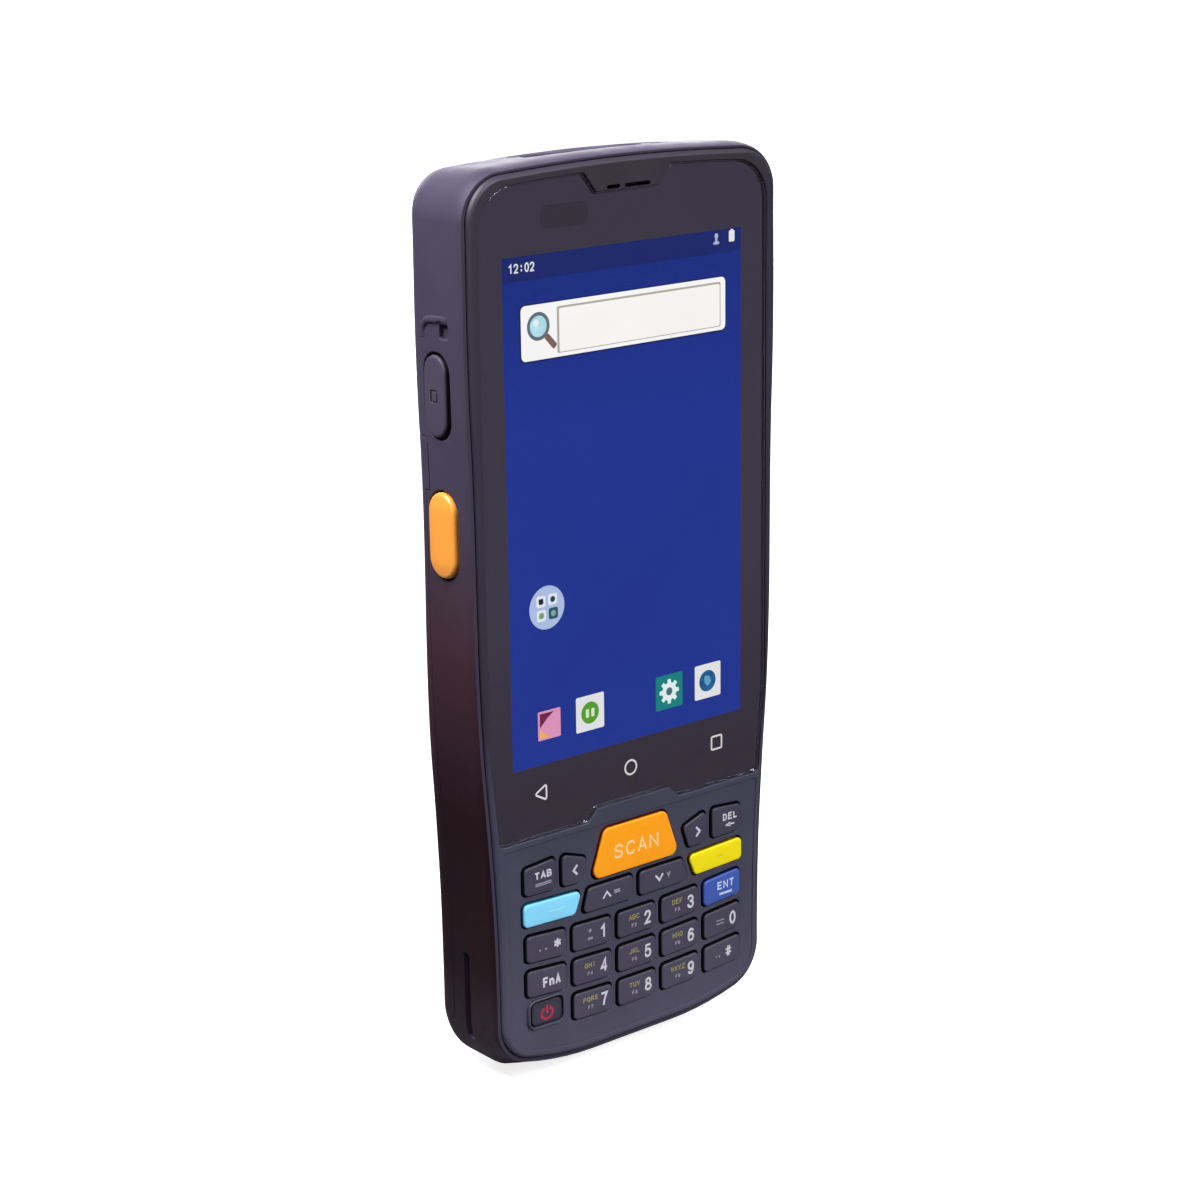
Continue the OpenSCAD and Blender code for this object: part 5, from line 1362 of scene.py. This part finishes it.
for sz in (-6, 6):
    adds.append(loft("tool", [box_ring(29.7, PORT_Y, ROCK_Z + sz, 1.0, 1.0, 0.2), box_ring(30.4, PORT_Y, ROCK_Z + sz, 1.0, 1.0, 0.2)]))
boolean(rk, adds, "UNION")
marks = []
for sz in (-6, 6):
    marks.append(loft("tool", [box_ring(34.8, PORT_Y, ROCK_Z + sz, 1.0, 0.19, 0.1), box_ring(36, PORT_Y, ROCK_Z + sz, 1.0, 0.19, 0.1)]))
marks.append(loft("tool", [box_ring(34.8, PORT_Y, ROCK_Z + 6, 0.19, 1.0, 0.1), box_ring(36, PORT_Y, ROCK_Z + 6, 0.19, 1.0, 0.1)]))
boolean(rk, marks)
place(rk, "rocker_cap", "volume_rocker", M["rocker"], "rocker_plastic", ["volume_rocker"], 35)

FX = 34.43
flap = side_button("flap", -1, FLAP_Y, PORT_Z, 5.7, 13.6, FX, 33.3, 0.5, 0.06, "port_cover", None, None, "port_cover")
# a small generic socket mark pressed into the flap
boolean(flap, [loft("tool", [box_ring(-36, FLAP_Y, PORT_Z, 0.95, 1.1, 0.3), box_ring(-FX + 0.22, FLAP_Y, PORT_Z, 0.95, 1.1, 0.3)])])
boolean(flap, [loft("tool", [box_ring(-FX + 0.05, FLAP_Y, PORT_Z, 0.6, 0.75, 0.25), box_ring(-FX + 0.5, FLAP_Y, PORT_Z, 0.6, 0.75, 0.25)]),
               loft("tool", [box_ring(-33.4, PORT_Y, PORT_Z, 1.8, 4.6, 0.8), box_ring(-32.3, PORT_Y, PORT_Z, 1.8, 4.6, 0.8), box_ring(-32.1, PORT_Y, PORT_Z, 1.6, 4.4, 0.7)])], "UNION")
place(flap, "flap_cap", "port_cover", M["rubber"], "flap_rubber", ["port_cover"], 40)

# --------------------------------------------------------------- battery
bat = rounded_prism(round_poly([(-25.9, 14.2), (25.9, 14.2), (25.9, 101.5), (-25.9, 101.5)], 1.2, 6), 10.1, 16.7, 0.6)
boolean(bat, [blk((-8, 14.5, 98.6), (8, 20, 103)), blk((-11.5, 11, 12.7), (11.5, 13.4, 14.45))])
place(bat, "battery_pack", "battery", M["battery"], "battery_case", ["battery"], 35)
wrap = rounded_prism(round_poly([(-21, 22), (21, 22), (21, 92), (-21, 92)], 1.0, 6), 16.60, 16.74, 0.03)
place(wrap, "battery_wrap", "battery", M["battery_wrap"], "battery_case", sharp=35)
pads = []
for x in (-9, -3, 3, 9):
    pads.append(place(rounded_prism(round_poly([(x - 1.6, 11.3), (x + 1.6, 11.3), (x + 1.6, 13.1), (x - 1.6, 13.1)], 0.2, 4), 14.42, 14.5, 0.02, "z"), "pad_tmp", "battery", M["gold"], "gold", weighted=False))
join("battery_pads", pads)

# camera: a trim ring and a small dome behind the window
cam_ring = loft("tool", [at_y(circle(4.35, 64, 14, 141), 18.3), at_y(circle(4.35, 64, 14, 141), 18.6), at_y(circle(4.2, 64, 14, 141), 18.72), at_y(circle(3.9, 64, 14, 141), 18.72), at_y(circle(3.7, 64, 14, 141), 18.55), at_y(circle(3.7, 64, 14, 141), 18.3)])
boolean(cam_ring, [bar_y(14, 141, 3.6, 17, 20, 64)])
place(cam_ring, "camera_trim", "root", M["alu"], "frame_metal", sharp=35)
lens_rings = [at_y(circle(1.9, 48, 14, 141), 18.42)]
for a in np.radians(np.linspace(10, 80, 7)):
    lens_rings.append(at_y(circle(1.9 * math.cos(a), 48, 14, 141), 18.5 + 0.16 * math.sin(a)))
v, f = dome_data(lens_rings, (14, 18.67, 141))
place(new_object("tool", v, f), "camera_lens", "root", M["lens"], "glass", sharp=60)

# --------------------------------------------------------------- finishes of the CAD nodes that stay
CAD = {
    "cover_seal": "seal", "lcd_panel": "panel", "display_frame": "alu", "earpiece": "dark", "status_light": "clear",
    "keypad_board": "board", "dome_switches": "steel", "keypad_flex": "flex", "main_board": "board", "shield_cans": "steel",
    "side_switches": "dark", "scan_engine": "dark", "scan_window": "window", "scan_window_seal": "seal",
    "camera_module": "dark", "camera_window": "lens", "flash_lens": "clear", "loudspeaker": "dark", "speaker_mesh": "steel",
    "vibration_motor": "steel", "usb_socket": "steel", "card_socket": "steel", "antenna": "flex", "battery_contacts": "gold",
    "charge_contacts": "gold", "housing_screws": "screw",
}
for name, key in CAD.items():
    ob = frame["nodes"][name]
    ob.data.materials.clear()
    ob.data.materials.append(M[key])
    if name in ("scan_window", "housing_screws", "usb_socket", "charge_contacts", "flash_lens", "shield_cans"):
        w = ob.modifiers.new("weld", "WELD")
        w.merge_threshold = 0.000005
        b = ob.modifiers.new("edges", "BEVEL")
        b.width, b.segments, b.limit_method, b.angle_limit = 0.00010, 2, "ANGLE", radians(40)
        b.use_clamp_overlap = True
